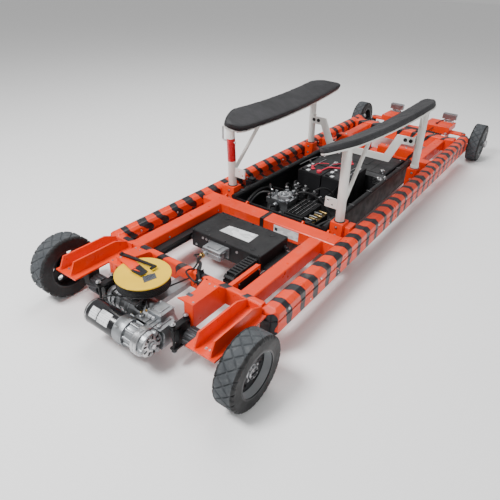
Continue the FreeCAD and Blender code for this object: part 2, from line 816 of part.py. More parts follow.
def cross_brace():
    """The formed bar that joins the rear posts: two ears, slanted legs, a low middle, end returns."""
    x = POST_REAR[0] - BRACE_AHEAD
    end, ear_z, bar_z = BRACE_END, BRACE_TOP - 56, BRACE_LOW + 50
    half = [(end, BRACE_TOP), (276, BRACE_TOP), (205, bar_z)]
    half_low = [(end, ear_z), (315, ear_z), (247, BRACE_LOW)]
    outline = half + [(-y, z) for y, z in reversed(half)]
    outline += [(-y, z) for y, z in half_low] + list(reversed(half_low))
    brace = prism_x(outline, x - 4, x + 4)
    returns = []
    for side in (-1, 1):
        y0, y1 = sorted((side * end, side * (end - 8)))
        returns.append(box(x + 4, x + BRACE_AHEAD, y0, y1, ear_z, BRACE_TOP))
    brace = union([brace] + returns)
    for side in (-1, 1):
        for hole_y in BRACE_HOLES:
            brace = brace.cut(rod(X_AXIS, (x - 10, side * hole_y, BRACE_HOLE_Z), 8, 20))
    brace.rotate(Vector(x, 0, SOCKET_TOP), Y_AXIS, -POST_RAKE)
    post = raked_rod(POST_REAR, -POST_DEPTH, POST_R, 700)
    return brace.cut(post).cut(mirrored(post))


def lock_pin():
    """The hooked pin that stands in the cross hole of the front left post."""
    y = POST_FRONT[1]
    corners = [(PIN_X, y - 34, PIN_Z), (PIN_X, y + 62, PIN_Z), (PIN_X, y + 62, PIN_Z + 78)]
    return tube_along(corners, PIN_R, 14)


# ---- lamps ----
LAMP_X = 3604.0
LAMP_Y = 256.0
LAMP_HINGE = 279.0


def lamp(side):
    """A small floodlight on its hinge barrel."""
    x, y, z = LAMP_X, side * LAMP_Y, LAMP_HINGE
    body = box(x - 18, x + 22, y - 62, y + 62, z + 11, z + 58)
    body = body.makeFillet(5, [e for e in body.Edges if abs(e.tangentAt(e.FirstParameter).y) > 0.9])
    barrel = rod(Y_AXIS, (x, y - 30, z), 8, 60)
    neck = box(x - 6, x + 6, y - 26, y + 26, z, z + 12)
    return union([body, barrel, neck]).cut(rod(Y_AXIS, (x, y - 40, z), 3 + RUN, 80))


def lamp_brackets():
    """A clevis under each lamp with the hinge pin."""
    feet = []
    for side in (-1, 1):
        x, y, z = LAMP_X, side * LAMP_Y, LAMP_HINGE
        base = box(x - 20, x + 14, y - 40, y + 40, HOUSING_TOP, HOUSING_TOP + 5)
        ears = [box(x - 7, x + 7, y + dy, y + dy + 8, HOUSING_TOP + 5, z + 8) for dy in (-39, 31)]
        pin = rod(Y_AXIS, (x, y - 39, z), 3, 78)
        feet.append(union([base, pin] + ears))
    return feet


def build():
    os.makedirs("parts", exist_ok=True)
    left_beam = side_beam()
    write("side_beam_left", *left_beam)
    write("side_beam_right", *[mirrored(s) for s in left_beam])
    write("front_crossbeam", beam_section(FRONT_CROSS, 165, 255, BEAM_IN, 8))
    write("middle_crossbeams", *middle_crossbeams())
    write("rear_crossbeam", beam_section(REAR_CROSS, 150, 255, BEAM_IN, 8))
    write("inner_rails", *inner_rails())
    arm = wheel_arm()
    write("wheel_arms", arm, mirrored(arm))
    housing = front_box()
    write("front_boxes", housing, mirrored(housing))
    sockets = [post_socket(POST_FRONT), post_socket(POST_REAR)]
    write("post_sockets", *sockets, *[mirrored(s) for s in sockets])
    write("rear_axle_beam", rear_axle_beam())
    write("lamp_brackets", *lamp_brackets())
    write("frame_bolts", *frame_bolts())
    write("battery_tray", battery_tray())
    write("batteries", *batteries())
    write("battery_terminals", *battery_terminals())
    write("hydraulic_motor", hydraulic_motor())
    write("hydraulic_pump", *hydraulic_pump())
    write("charger_box", charger_box())
    write("isolator_knob", isolator_knob())
    write("transaxle_housing", transaxle_housing())
    write("drive_motor", drive_motor())
    write("gear_head", gear_head())
    write("axle_clamps", *axle_clamps())
    axle = drive_axle()
    front_rim = rim(0, 24)
    rear_rim = rim(WHEELBASE, 22)
    for name, side in (("left", 1), ("right", -1)):
        write("front_tyre_%s" % name, tyre(0, side))
        write("front_rim_%s" % name, front_rim if side > 0 else mirrored(front_rim))
        write("drive_axle_%s" % name, axle if side > 0 else mirrored(axle))
        write("rear_tyre_%s" % name, tyre(WHEELBASE, side))
        write("rear_rim_%s" % name, rear_rim if side > 0 else mirrored(rear_rim))
        write("rear_hub_%s" % name, rear_hub(side))
        write("steering_knuckle_%s" % name, knuckle(side))
        write("work_lamp_%s" % name, lamp(side))
    write("steering_rack", steering_rack())
    write("tie_rods", *tie_rods())
    write("rack_housing", rack_housing())
    write("reel_drum", reel_drum())
    write("reel_cable", reel_cable())
    write("reel_bracket", reel_bracket())
    write("reel_latch", reel_latch())
    write("carriage_box", carriage_box())
    write("carriage_slides", *carriage_slides())
    write("carriage_connector", carriage_connector())
    write("control_cable", control_cable())
    write("energy_chain", energy_chain())
    write("chain_guide", chain_guide())
    pad = cradle_pad()
    write("cradle_pad_left", pad)
    write("cradle_pad_right", mirrored(pad))
    plate = pad_plate()
    write("pad_plates", plate, mirrored(plate))
    posts = cradle_posts()
    write("cradle_posts", *posts, *[mirrored(s) for s in posts])
    braces = cradle_braces()
    write("cradle_braces", *braces, *[mirrored(s) for s in braces])
    write("stub_brackets", stub_bracket(STUB_HOLES_LEFT), mirrored(stub_bracket(STUB_HOLES_RIGHT)))
    write("cross_brace", cross_brace())
    write("lock_pin", lock_pin())


build()
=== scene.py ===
import math

import bmesh
import bpy
import numpy as np
from mathutils import Matrix, Vector
from mathutils.bvhtree import BVHTree


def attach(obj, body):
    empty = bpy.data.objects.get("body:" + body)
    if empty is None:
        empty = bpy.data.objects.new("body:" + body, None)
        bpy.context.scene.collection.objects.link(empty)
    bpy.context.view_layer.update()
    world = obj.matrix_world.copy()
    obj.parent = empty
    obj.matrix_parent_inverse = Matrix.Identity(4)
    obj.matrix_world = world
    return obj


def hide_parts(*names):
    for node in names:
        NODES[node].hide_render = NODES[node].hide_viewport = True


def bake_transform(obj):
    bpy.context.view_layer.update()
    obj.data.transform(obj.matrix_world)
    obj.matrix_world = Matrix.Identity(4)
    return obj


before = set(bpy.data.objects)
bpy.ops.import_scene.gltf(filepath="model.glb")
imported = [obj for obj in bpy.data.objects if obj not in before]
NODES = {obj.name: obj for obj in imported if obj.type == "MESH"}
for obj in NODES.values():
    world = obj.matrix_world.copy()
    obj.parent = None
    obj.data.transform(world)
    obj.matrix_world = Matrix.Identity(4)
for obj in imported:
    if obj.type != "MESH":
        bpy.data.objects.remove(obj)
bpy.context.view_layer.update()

# ---- the machine's measures, millimetres from the front axle, as the CAD part has them ----
ORIGIN_X = 1735.05
WHEEL_R, WHEEL_HALF, TRACK_HALF, WHEELBASE = 160.0, 49.0, 565.0, 3500.0
AXLE_Z = WHEEL_R
HANDS = (("left", 1), ("right", -1))
PAD_FRONT, PAD_REAR, PAD_THICK, PAD_TILT = 948.0, 2385.0, 34.0, math.radians(21.0)
ARM_TOP, SOCKET_TOP, BATTERY_TOP = 314.0, 276.0, 288.0
MOTOR_X, MOTOR_Z = -126.0, 150.0
REEL_X, REEL_Y, REEL_TOP = 54.0, 48.0, 305.0


def at(x, y, z):
    """Machine millimetres to row-frame metres."""
    return Vector(((x - ORIGIN_X) / 1000.0, y / 1000.0, z / 1000.0))


# ---- materials ----
class Shade:
    """A Principled material with small helpers to build procedural detail."""

    def __init__(self, name, rough=0.5, metal=0.0):
        self.mat = bpy.data.materials.new(name)
        self.mat.use_nodes = True
        self.tree = self.mat.node_tree
        self.bsdf = self.tree.nodes["Principled BSDF"]
        self.bsdf.inputs["Metallic"].default_value = metal
        self.bsdf.inputs["Roughness"].default_value = rough
        self.bsdf.inputs["Specular IOR Level"].default_value = 0.5 if metal else 0.28
        self.where = self.node("ShaderNodeTexCoord").outputs["Object"]
        self.bumps = []

    def node(self, kind, **values):
        made = self.tree.nodes.new(kind)
        for key, value in values.items():
            if hasattr(made, key):
                setattr(made, key, value)
            else:
                made.inputs[key].default_value = value
        return made

    def link(self, out, socket):
        self.tree.links.new(out, socket)

    def math(self, operation, a, b=None, c=None):
        made = self.node("ShaderNodeMath", operation=operation)
        for i, value in enumerate((a, b, c)):
            if value is None:
                continue
            if isinstance(value, (int, float)):
                made.inputs[i].default_value = value
            else:
                self.link(value, made.inputs[i])
        return made.outputs[0]

    def ramp(self, value, low, high, out_low=0.0, out_high=1.0):
        made = self.node("ShaderNodeMapRange")
        made.interpolation_type = "SMOOTHSTEP"
        self.link(value, made.inputs["Value"])
        for key, number in zip(
            ("From Min", "From Max", "To Min", "To Max"), (low, high, out_low, out_high)
        ):
            made.inputs[key].default_value = number
        return made.outputs["Result"]

    def noise(self, scale, detail=3.0, rough=0.55, stretch=None):
        made = self.node("ShaderNodeTexNoise")
        made.inputs["Scale"].default_value = scale
        made.inputs["Detail"].default_value = detail
        made.inputs["Roughness"].default_value = rough
        source = self.where
        if stretch:
            mapping = self.node("ShaderNodeMapping")
            mapping.inputs["Scale"].default_value = stretch
            self.link(source, mapping.inputs["Vector"])
            source = mapping.outputs[0]
        self.link(source, made.inputs["Vector"])
        return made.outputs["Fac"]

    def voronoi(self, scale):
        made = self.node("ShaderNodeTexVoronoi")
        made.inputs["Scale"].default_value = scale
        self.link(self.where, made.inputs["Vector"])
        return made.outputs["Distance"]

    def mix(self, fac, a, b):
        made = self.node("ShaderNodeMix", data_type="RGBA")
        for key, value in (("Factor", fac), ("A", a), ("B", b)):
            socket = [s for s in made.inputs if s.name == key and s.enabled][0]
            if isinstance(value, tuple):
                socket.default_value = value + (1.0,)
            elif isinstance(value, (int, float)):
                socket.default_value = value
            else:
                self.link(value, socket)
        return [s for s in made.outputs if s.enabled][0]

    def axis(self, which):
        made = self.node("ShaderNodeSeparateXYZ")
        self.link(self.where, made.inputs[0])
        return made.outputs[which]

    def colour(self, value):
        if isinstance(value, tuple):
            self.bsdf.inputs["Base Color"].default_value = value + (1.0,)
        else:
            self.link(value, self.bsdf.inputs["Base Color"])

    def rough(self, value):
        self.link(value, self.bsdf.inputs["Roughness"])

    def bump(self, height, strength, distance):
        made = self.node("ShaderNodeBump")
        made.inputs["Strength"].default_value = strength
        made.inputs["Distance"].default_value = distance
        self.link(height, made.inputs["Height"])
        if self.bumps:
            self.link(self.bumps[-1], made.inputs["Normal"])
        self.bumps.append(made.outputs[0])
        self.link(self.bumps[-1], self.bsdf.inputs["Normal"])

    def coat(self, amount, rough=0.12):
        self.bsdf.inputs["Coat Weight"].default_value = amount
        self.bsdf.inputs["Coat Roughness"].default_value = rough


ORANGE, ORANGE_DARK = (0.86, 0.046, 0.002), (0.72, 0.034, 0.0015)
STRIPE = (0.014, 0.014, 0.017)


def stripe_mask(s, along, across, period, half_width, slant, full_at):
    """1 inside a tiger stripe. along runs down the member, across is 0 at a stripe's point."""
    wave = s.noise(9.0, 2.0)
    wobble = s.math("MULTIPLY", s.math("SUBTRACT", wave, 0.5), 0.055)
    u = s.math("ADD", s.math("ADD", along, s.math("MULTIPLY", across, slant)), wobble)
    cell = s.math("FLOOR", s.math("DIVIDE", u, period))
    pick = s.node("ShaderNodeTexWhiteNoise", noise_dimensions="1D")
    s.link(cell, pick.inputs["W"])
    chance = pick.outputs["Value"]
    inside = s.math("SUBTRACT", s.math("FRACT", s.math("DIVIDE", u, period)), 0.5)
    off_centre = s.math("MULTIPLY", s.math("ABSOLUTE", inside), period)
    start = s.math("MULTIPLY", chance, 0.35 * full_at)
    grown = s.math("SUBTRACT", across, start)
    taper = s.ramp(grown, 0.0, full_at, 0.0, 1.0)
    wide = s.math("MULTIPLY", s.math("MULTIPLY_ADD", chance, 0.45, 0.72), half_width)
    reach = s.math("MULTIPLY", wide, taper)
    gap = s.math("SUBTRACT", reach, off_centre)
    return s.ramp(gap, -0.0006, 0.0012)


def enamel(name, stripes=None):
    """Glossy orange enamel with faint dust and chips; stripes picks the striped members."""
    s = Shade(name, 0.34)
    paint = s.mix(s.ramp(s.noise(3.0, 4.0), 0.35, 0.7), ORANGE, ORANGE_DARK)
    x, y, z = (s.axis(k) for k in range(3))
    side = s.math("ABSOLUTE", y)
    if stripes == "beam":
        across = s.math("ADD", s.math("SUBTRACT", z, 0.112), s.math("SUBTRACT", 0.528, side))
        inner = s.math("SUBTRACT", 1.0, s.ramp(side, 0.4485, 0.456))
        drop = s.math("MULTIPLY", s.math("SUBTRACT", 0.256, z), 2.1)
        across = s.math("SUBTRACT", across, s.math("MULTIPLY", inner, drop))
        upper = stripe_mask(s, x, across, 0.118, 0.027, 0.30, 0.085)
        low_across = s.math("SUBTRACT", 0.105, across)
        shifted = s.math("ADD", x, 0.06)
        lower = stripe_mask(s, shifted, low_across, 0.118, 0.021, -0.42, 0.06)
        paint = s.mix(s.math("MAXIMUM", upper, lower), paint, STRIPE)
    if stripes in ("front", "rear"):
        face, base = (-1.4871, 0.165) if stripes == "front" else (1.34495, 0.150)
        across = s.math("ADD", s.math("SUBTRACT", z, base), s.math("SUBTRACT", x, face))
        mask = stripe_mask(s, y, across, 0.125, 0.024, 0.5, 0.09)
        paint = s.mix(mask, paint, STRIPE)
    if stripes == "arm":
        centre = s.math("ABSOLUTE", s.math("SUBTRACT", x, -1.6931))
        wedge = s.math("MULTIPLY", s.math("SUBTRACT", y, 0.052), 0.34)
        inside = s.ramp(s.math("SUBTRACT", wedge, centre), 0.0, 0.001)
        black = s.math("SUBTRACT", 1.0, s.ramp(y, 0.097, 0.099))
        paint = s.mix(s.math("MULTIPLY", black, s.math("SUBTRACT", 1.0, inside)), paint, STRIPE)
    if stripes == "towers":
        across = s.math("SUBTRACT", z, 0.16)
        behind = s.ramp(x, 0.30, 0.31)
        mask = stripe_mask(s, y, across, 0.16, 0.022, 0.7, 0.12)
        paint = s.mix(s.math("MULTIPLY", mask, behind), paint, STRIPE)
    chips = s.ramp(s.noise(62.0, 5.0, 0.7), 0.745, 0.765)
    paint = s.mix(s.math("MULTIPLY", chips, 0.55), paint, (0.12, 0.06, 0.04))
    dust = s.ramp(s.noise(14.0, 5.0, 0.65), 0.52, 0.78, 0.0, 0.16)
    s.colour(s.mix(dust, paint, (0.42, 0.34, 0.29)))
    s.rough(s.ramp(s.noise(22.0, 4.0), 0.3, 0.75, 0.27, 0.47))
    s.bump(s.noise(260.0, 2.0), 0.05, 0.0006)
    s.coat(0.12, 0.2)
    return s.mat


def painted(name, base, other, rough=(0.38, 0.6), grain=240.0, coat=0.0):
    """Paint or plastic with a soft change of tone and light scuffs."""
    s = Shade(name, 0.5)
    tone = s.mix(s.ramp(s.noise(7.0, 4.0), 0.35, 0.7), base, other)
    scuffs = s.ramp(s.noise(34.0, 6.0, 0.7, stretch=(0.5, 1.0, 2.2)), 0.66, 0.74)
    lighter = tuple(min(1.0, v * 1.9 + 0.05) for v in base)
    s.colour(s.mix(s.math("MULTIPLY", scuffs, 0.35), tone, lighter))
    s.rough(s.ramp(s.noise(18.0, 4.0), 0.3, 0.75, rough[0], rough[1]))
    s.bump(s.noise(grain, 3.0), 0.12, 0.0008)
    s.coat(coat)
    return s.mat


def reel_paint(name):
    """Yellow drum flange above, black underside and core."""
    s = Shade(name, 0.4)
    yellow = s.mix(s.ramp(s.noise(6.0, 4.0), 0.35, 0.7), (0.84, 0.53, 0.020), (0.76, 0.47, 0.016))
    scuffs = s.ramp(s.noise(46.0, 6.0, 0.7), 0.66, 0.74, 0.0, 0.3)
    upper = s.ramp(s.axis(2), 0.2968, 0.2978)
    s.colour(s.mix(upper, (0.016, 0.016, 0.017), s.mix(scuffs, yellow, (0.55, 0.38, 0.08))))
    s.rough(s.ramp(s.noise(18.0, 4.0), 0.3, 0.75, 0.32, 0.46))
    s.bump(s.noise(300.0, 3.0), 0.08, 0.0008)
    return s.mat


def metal(name, base, other, rough=(0.24, 0.44), fine=420.0, depth=0.10):
    """Bare metal with stains and a fine grain."""
    s = Shade(name, 0.35, 1.0)
    tone = s.mix(s.ramp(s.noise(9.0, 5.0, 0.6), 0.3, 0.75), base, other)
    stain = s.ramp(s.noise(26.0, 5.0, 0.7), 0.62, 0.78, 0.0, 0.4)
    s.colour(s.mix(stain, tone, tuple(v * 0.45 for v in base)))
    s.rough(s.ramp(s.noise(30.0, 4.0), 0.3, 0.7, rough[0], rough[1]))
    s.bump(s.noise(fine, 3.0), depth, 0.0007)
    return s.mat


def vinyl(name):
    """Charcoal leather-grain vinyl."""
    s = Shade(name, 0.5)
    s.colour(s.mix(s.ramp(s.noise(5.0, 4.0), 0.3, 0.75), (0.017, 0.017, 0.019), (0.027, 0.027, 0.030)))
    pebbles = s.voronoi(420.0)
    s.rough(s.ramp(s.noise(16.0, 4.0), 0.3, 0.75, 0.47, 0.62))
    s.bump(s.noise(22.0, 4.0), 0.20, 0.004)
    s.bump(pebbles, 0.28, 0.0010)
    return s.mat


def rubber(name, base, rough=(0.62, 0.82), dusty=0.0):
    """Dull rubber with dark mottling and a little dust."""
    s = Shade(name, 0.7)
    dark = tuple(v * 0.7 for v in base)
    tone = s.mix(s.ramp(s.noise(11.0, 5.0, 0.6), 0.3, 0.75), base, dark)
    dust = s.ramp(s.noise(36.0, 6.0, 0.7), 0.45, 0.8, 0.0, dusty)
    s.colour(s.mix(dust, tone, (0.30, 0.30, 0.30)))
    s.rough(s.ramp(s.noise(20.0, 4.0), 0.3, 0.7, rough[0], rough[1]))
    s.bump(s.noise(500.0, 3.0), 0.22, 0.0006)
    return s.mat


def label(name, base=(0.78, 0.79, 0.80)):
    """A printed label: faint grey bars, no writing."""
    s = Shade(name, 0.35)
    x, y = s.axis(0), s.axis(1)
    rows = s.ramp(s.math("SINE", s.math("MULTIPLY", x, 900.0)), 0.25, 0.55)
    broken = s.ramp(s.noise(90.0, 2.0, stretch=(0.2, 3.0, 1.0)), 0.42, 0.5)
    blocks = s.ramp(s.noise(34.0, 1.0, stretch=(1.0, 0.5, 1.0)), 0.50, 0.54, 0.0, 0.45)
    tone = s.mix(blocks, base, tuple(0.45 * v for v in base))
    s.colour(s.mix(s.math("MULTIPLY", s.math("MULTIPLY", rows, broken), 0.5), tone, (0.25, 0.26, 0.28)))
    s.rough(s.ramp(s.noise(30.0, 3.0), 0.3, 0.7, 0.25, 0.42))
    return s.mat


M = {
    "orange": enamel("orange_enamel"),
    "orange_beam": enamel("orange_tiger_beam", "beam"),
    "orange_front": enamel("orange_tiger_front", "front"),
    "orange_rear": enamel("orange_tiger_rear", "rear"),
    "orange_arm": enamel("orange_tiger_arm", "arm"),
    "orange_tower": enamel("orange_tiger_tower", "towers"),
    "black": painted("black_satin_paint", (0.009, 0.009, 0.010), (0.015, 0.015, 0.016)),
    "black_gloss": painted(
        "black_gloss_paint", (0.010, 0.010, 0.012), (0.020, 0.020, 0.022), (0.18, 0.32), coat=0.4
    ),
    "black_plastic": painted(
        "black_plastic", (0.011, 0.011, 0.012), (0.018, 0.018, 0.020), (0.42, 0.58), 700.0
    ),
    "white": painted("white_paint", (0.74, 0.74, 0.71), (0.66, 0.66, 0.63), (0.34, 0.5), 180.0, 0.2),
    "red": painted(
        "red_reflective_tape", (0.52, 0.012, 0.02), (0.44, 0.010, 0.016), (0.22, 0.34), 900.0, 0.5
    ),
    "red_cap": painted("red_terminal_rubber", (0.62, 0.03, 0.06), (0.5, 0.02, 0.05), (0.35, 0.5), 300.0),
    "yellow": reel_paint("yellow_reel_plastic"),
    "rim": painted(
        "black_rim_paint", (0.018, 0.018, 0.020), (0.030, 0.030, 0.032), (0.3, 0.45), 260.0, 0.2
    ),
    "barrel": painted("grey_rim_barrel", (0.30, 0.31, 0.32), (0.24, 0.25, 0.26), (0.4, 0.55)),
    "aluminium": metal(
        "cast_aluminium", (0.36, 0.37, 0.385), (0.27, 0.28, 0.29), (0.36, 0.54), fine=620.0, depth=0.25
    ),
    "bright": metal("bright_machined_ring", (0.60, 0.60, 0.61), (0.48, 0.48, 0.49), (0.2, 0.34)),
    "steel": metal("zinc_plated_steel", (0.50, 0.50, 0.51), (0.38, 0.38, 0.39), (0.28, 0.44)),
    "iron": metal(
        "cast_iron", (0.060, 0.060, 0.064), (0.040, 0.040, 0.043), (0.42, 0.6), fine=380.0, depth=0.35
    ),
    "brass": metal("brass", (0.72, 0.50, 0.19), (0.60, 0.40, 0.14), (0.22, 0.36)),
    "vinyl": vinyl("charcoal_vinyl"),
    "tyre": rubber("slate_tyre_tread", (0.060, 0.066, 0.072), dusty=0.20),
    "sidewall": rubber("black_tyre_sidewall", (0.018, 0.018, 0.019), (0.45, 0.62), dusty=0.05),
    "cable": rubber("black_cable_sheath", (0.012, 0.012, 0.013), (0.38, 0.55), dusty=0.04),
    "label": label("white_label"),
    "dark_label": label("dark_label", (0.045, 0.05, 0.06)),
    "lens": painted("lamp_lens", (0.80, 0.82, 0.84), (0.70, 0.72, 0.74), (0.10, 0.2), 120.0, 0.8),
    "tray": painted("black_tray", (0.009, 0.009, 0.010), (0.016, 0.016, 0.017), (0.42, 0.62), 90.0),
}

NODE_LOOK = {
    "side_beam_left": "orange_beam", "side_beam_right": "orange_beam", "front_crossbeam": "orange_front",
    "rear_crossbeam": "orange_rear", "middle_crossbeams": "orange_tower", "inner_rails": "orange",
    "wheel_arms": "orange", "front_boxes": "orange", "post_sockets": "orange", "rear_axle_beam": "orange",
    "chain_guide": "orange", "reel_bracket": "orange_arm", "lamp_brackets": "steel", "frame_bolts": "steel",
    "battery_tray": "tray", "batteries": "black_plastic", "battery_terminals": "red_cap",
    "hydraulic_motor": "black", "hydraulic_pump": "aluminium", "charger_box": "black_plastic",
    "isolator_knob": "steel", "transaxle_housing": "aluminium", "drive_motor": "black_gloss",
    "gear_head": "aluminium", "axle_clamps": "black", "drive_axle_left": "iron", "drive_axle_right": "iron",
    "steering_rack": "steel", "tie_rods": "steel", "rack_housing": "black", "reel_drum": "yellow",
    "reel_cable": "cable", "reel_latch": "black", "carriage_box": "black", "carriage_slides": "black",
    "carriage_connector": "aluminium", "control_cable": "cable", "energy_chain": "black_plastic",
    "pad_plates": "white", "cradle_posts": "white", "cradle_braces": "white", "stub_brackets": "white",
    "cross_brace": "white", "lock_pin": "steel",
}
for end in ("front", "rear"):
    for hand in ("left", "right"):
        NODE_LOOK["%s_tyre_%s" % (end, hand)] = "tyre"
        NODE_LOOK["%s_rim_%s" % (end, hand)] = "rim"
for hand in ("left", "right"):
    NODE_LOOK["rear_hub_" + hand] = "steel"
    NODE_LOOK["steering_knuckle_" + hand] = "iron"
    NODE_LOOK["work_lamp_" + hand] = "aluminium"
    NODE_LOOK["cradle_pad_" + hand] = "vinyl"

# Edge rounding of the larger nodes, in metres.
BEVEL = {
    "side_beam_left": 0.005, "side_beam_right": 0.005, "front_crossbeam": 0.004, "middle_crossbeams": 0.003,
    "rear_crossbeam": 0.004, "inner_rails": 0.003, "post_sockets": 0.004, "rear_axle_beam": 0.006,
    "front_boxes": 0.002, "cross_brace": 0.002, "charger_box": 0.005,
    "batteries": 0.004, "carriage_box": 0.003,
}

def finish_node(name, look):
    """A CAD node's material, and a small bevel on its edges."""
    node = NODES[name]
    for place in node.material_slots:
        place.material = M[look]
    weld = node.modifiers.new("weld", "WELD")
    weld.merge_threshold = 0.00001
    bevel = node.modifiers.new("bevel", "BEVEL")
    bevel.width = BEVEL.get(name, 0.0015)
    bevel.segments = 2
    bevel.limit_method = "ANGLE"
    bevel.angle_limit = math.radians(38)
    bevel.harden_normals = True
    bevel.use_clamp_overlap = True


for node_name, node_look in NODE_LOOK.items():
    finish_node(node_name, node_look)


# ---- mesh helpers ----
def piece(name, verts, faces, look, body, smooth=True, parts=None, edge=0.0):
    """A new mesh piece in the row frame, riding on a body. Angles over 35 degrees stay sharp."""
    mesh = bpy.data.meshes.new(name)
    mesh.from_pydata([tuple(v) for v in verts], [], faces)
    mesh.validate()
    mesh.materials.append(M[look])
    for extra in parts or ():
        mesh.materials.append(M[extra])
    made = bpy.data.objects.new(name, mesh)
    bpy.context.scene.collection.objects.link(made)
    work = bmesh.new()
    work.from_mesh(mesh)
    bmesh.ops.recalc_face_normals(work, faces=work.faces)
    work.to_mesh(mesh)
    work.free()
    if edge:
        bevel = made.modifiers.new("bevel", "BEVEL")
        bevel.width, bevel.segments, bevel.limit_method = edge, 2, "ANGLE"
        bevel.angle_limit = math.radians(38)
    if smooth:
        mesh.set_sharp_from_angle(angle=math.radians(35))
        mesh.polygons.foreach_set("use_smooth", [True] * len(mesh.polygons))
    if body:
        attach(made, body)
    return made


class Shape:
    """Collects solids, in machine millimetres, for one mesh piece."""

    def __init__(self):
        self.verts, self.faces, self.slots = [], [], []

    def add(self, verts, faces, slot=0):
        base = len(self.verts)
        self.verts += [Vector(v) for v in verts]
        self.faces += [tuple(base + i for i in face) for face in faces]
        self.slots += [slot] * len(faces)
        return self

    def box(self, x0, x1, y0, y1, z0, z1, slot=0):
        corners = [(x, y, z) for x in (x0, x1) for y in (y0, y1) for z in (z0, z1)]
        sides = [(0, 1, 3, 2), (4, 6, 7, 5), (0, 4, 5, 1), (2, 3, 7, 6), (0, 2, 6, 4), (1, 5, 7, 3)]
        return self.add(corners, sides, slot)

    def turned(self, start, way, profile, around=32, slot=0, closed=False):
        """A profile of (distance along, radius) turned about the line from start along way."""
        way = Vector(way).normalized()
        side = way.orthogonal().normalized()
        up = way.cross(side)
        verts, faces = [], []
        for along, radius in profile:
            for k in range(around):
                turn = 2 * math.pi * k / around
                verts.append(
                    Vector(start) + way * along + (side * math.cos(turn) + up * math.sin(turn)) * radius
                )
        rings = len(profile)
        for i in range(rings if closed else rings - 1):
            j = (i + 1) % rings
            for k in range(around):
                n = (k + 1) % around
                faces.append((i * around + k, i * around + n, j * around + n, j * around + k))
        if not closed:
            faces.append(tuple(range(around)))
            faces.append(tuple((rings - 1) * around + k for k in range(around)))
        return self.add(verts, faces, slot)

    def ring(self, start, way, profile, around):
        """A closed profile turned about the line from start along way."""
        return self.turned(start, way, profile, around, closed=True)

    def rod(self, start, way, radius, length, around=24, slot=0, bevel=0.0):
        b = min(bevel, radius * 0.4, length * 0.4)
        if b:
            profile = [(0, radius - b), (b, radius), (length - b, radius), (length, radius - b)]
        else:
            profile = [(0, radius), (length, radius)]
        return self.turned(start, way, profile, around, slot)

    def bolt(self, start, way, radius, height=None, slot=0):
        """A washer, a hexagon head and the chamfer on top of it."""
        height = height or radius * 0.8
        self.rod(start, way, radius * 1.35, height * 0.25, 24, slot)
        top = Vector(start) + Vector(way).normalized() * height * 0.25
        profile = [(0, radius), (height * 0.8, radius), (height, radius * 0.82)]
        return self.turned(top, way, profile, 6, slot)

    def tube(self, points, radius, around=12, slot=0):
        """A round tube that follows points smoothly."""
        line = smooth_line(points)
        verts, faces = [], []
        normal = (line[1] - line[0]).normalized().orthogonal()
        for i, here in enumerate(line):
            way = (line[min(i + 1, len(line) - 1)] - line[max(i - 1, 0)]).normalized()
            normal = (normal - way * normal.dot(way)).normalized()
            side = way.cross(normal)
            for k in range(around):
                turn = 2 * math.pi * k / around
                verts.append(here + (normal * math.cos(turn) + side * math.sin(turn)) * radius)
        for i in range(len(line) - 1):
            for k in range(around):
                n = (k + 1) % around
                faces.append((i * around + k, i * around + n, (i + 1) * around + n, (i + 1) * around + k))
        faces.append(tuple(range(around)))
        faces.append(tuple((len(line) - 1) * around + k for k in range(around)))
        return self.add(verts, faces, slot)

    def moved(self, matrix):
        self.verts = [matrix @ v for v in self.verts]
        return self

    def join(self, other):
        return self.add(other.verts, [f for f in other.faces], 0)

    def make(self, name, look, body, parts=None, edge=0.0, smooth=True):
        made = piece(name, [at(*v) for v in self.verts], self.faces, look, body, smooth, parts, edge)
        if parts and len(self.slots) == len(made.data.polygons):
            made.data.polygons.foreach_set("material_index", self.slots)
        return made


def smooth_line(points, steps=10):
    """Catmull-Rom points through a rough route."""
    rough = [Vector(p) for p in points]
    if len(rough) == 2:
        return rough
    ends = [rough[0] * 2 - rough[1]] + rough + [rough[-1] * 2 - rough[-2]]
    line = []
    for a, b, c, d in zip(ends, ends[1:], ends[2:], ends[3:]):
        for k in range(steps):
            t = k / steps
            line.append(
                0.5 * (
                    2 * b + (c - a) * t + (
                        2 * a - 5 * b + 4 * c - d
                    ) * t * t + (3 * b - a - 3 * c + d) * t ** 3
                )
            )
    return line + [rough[-1]]


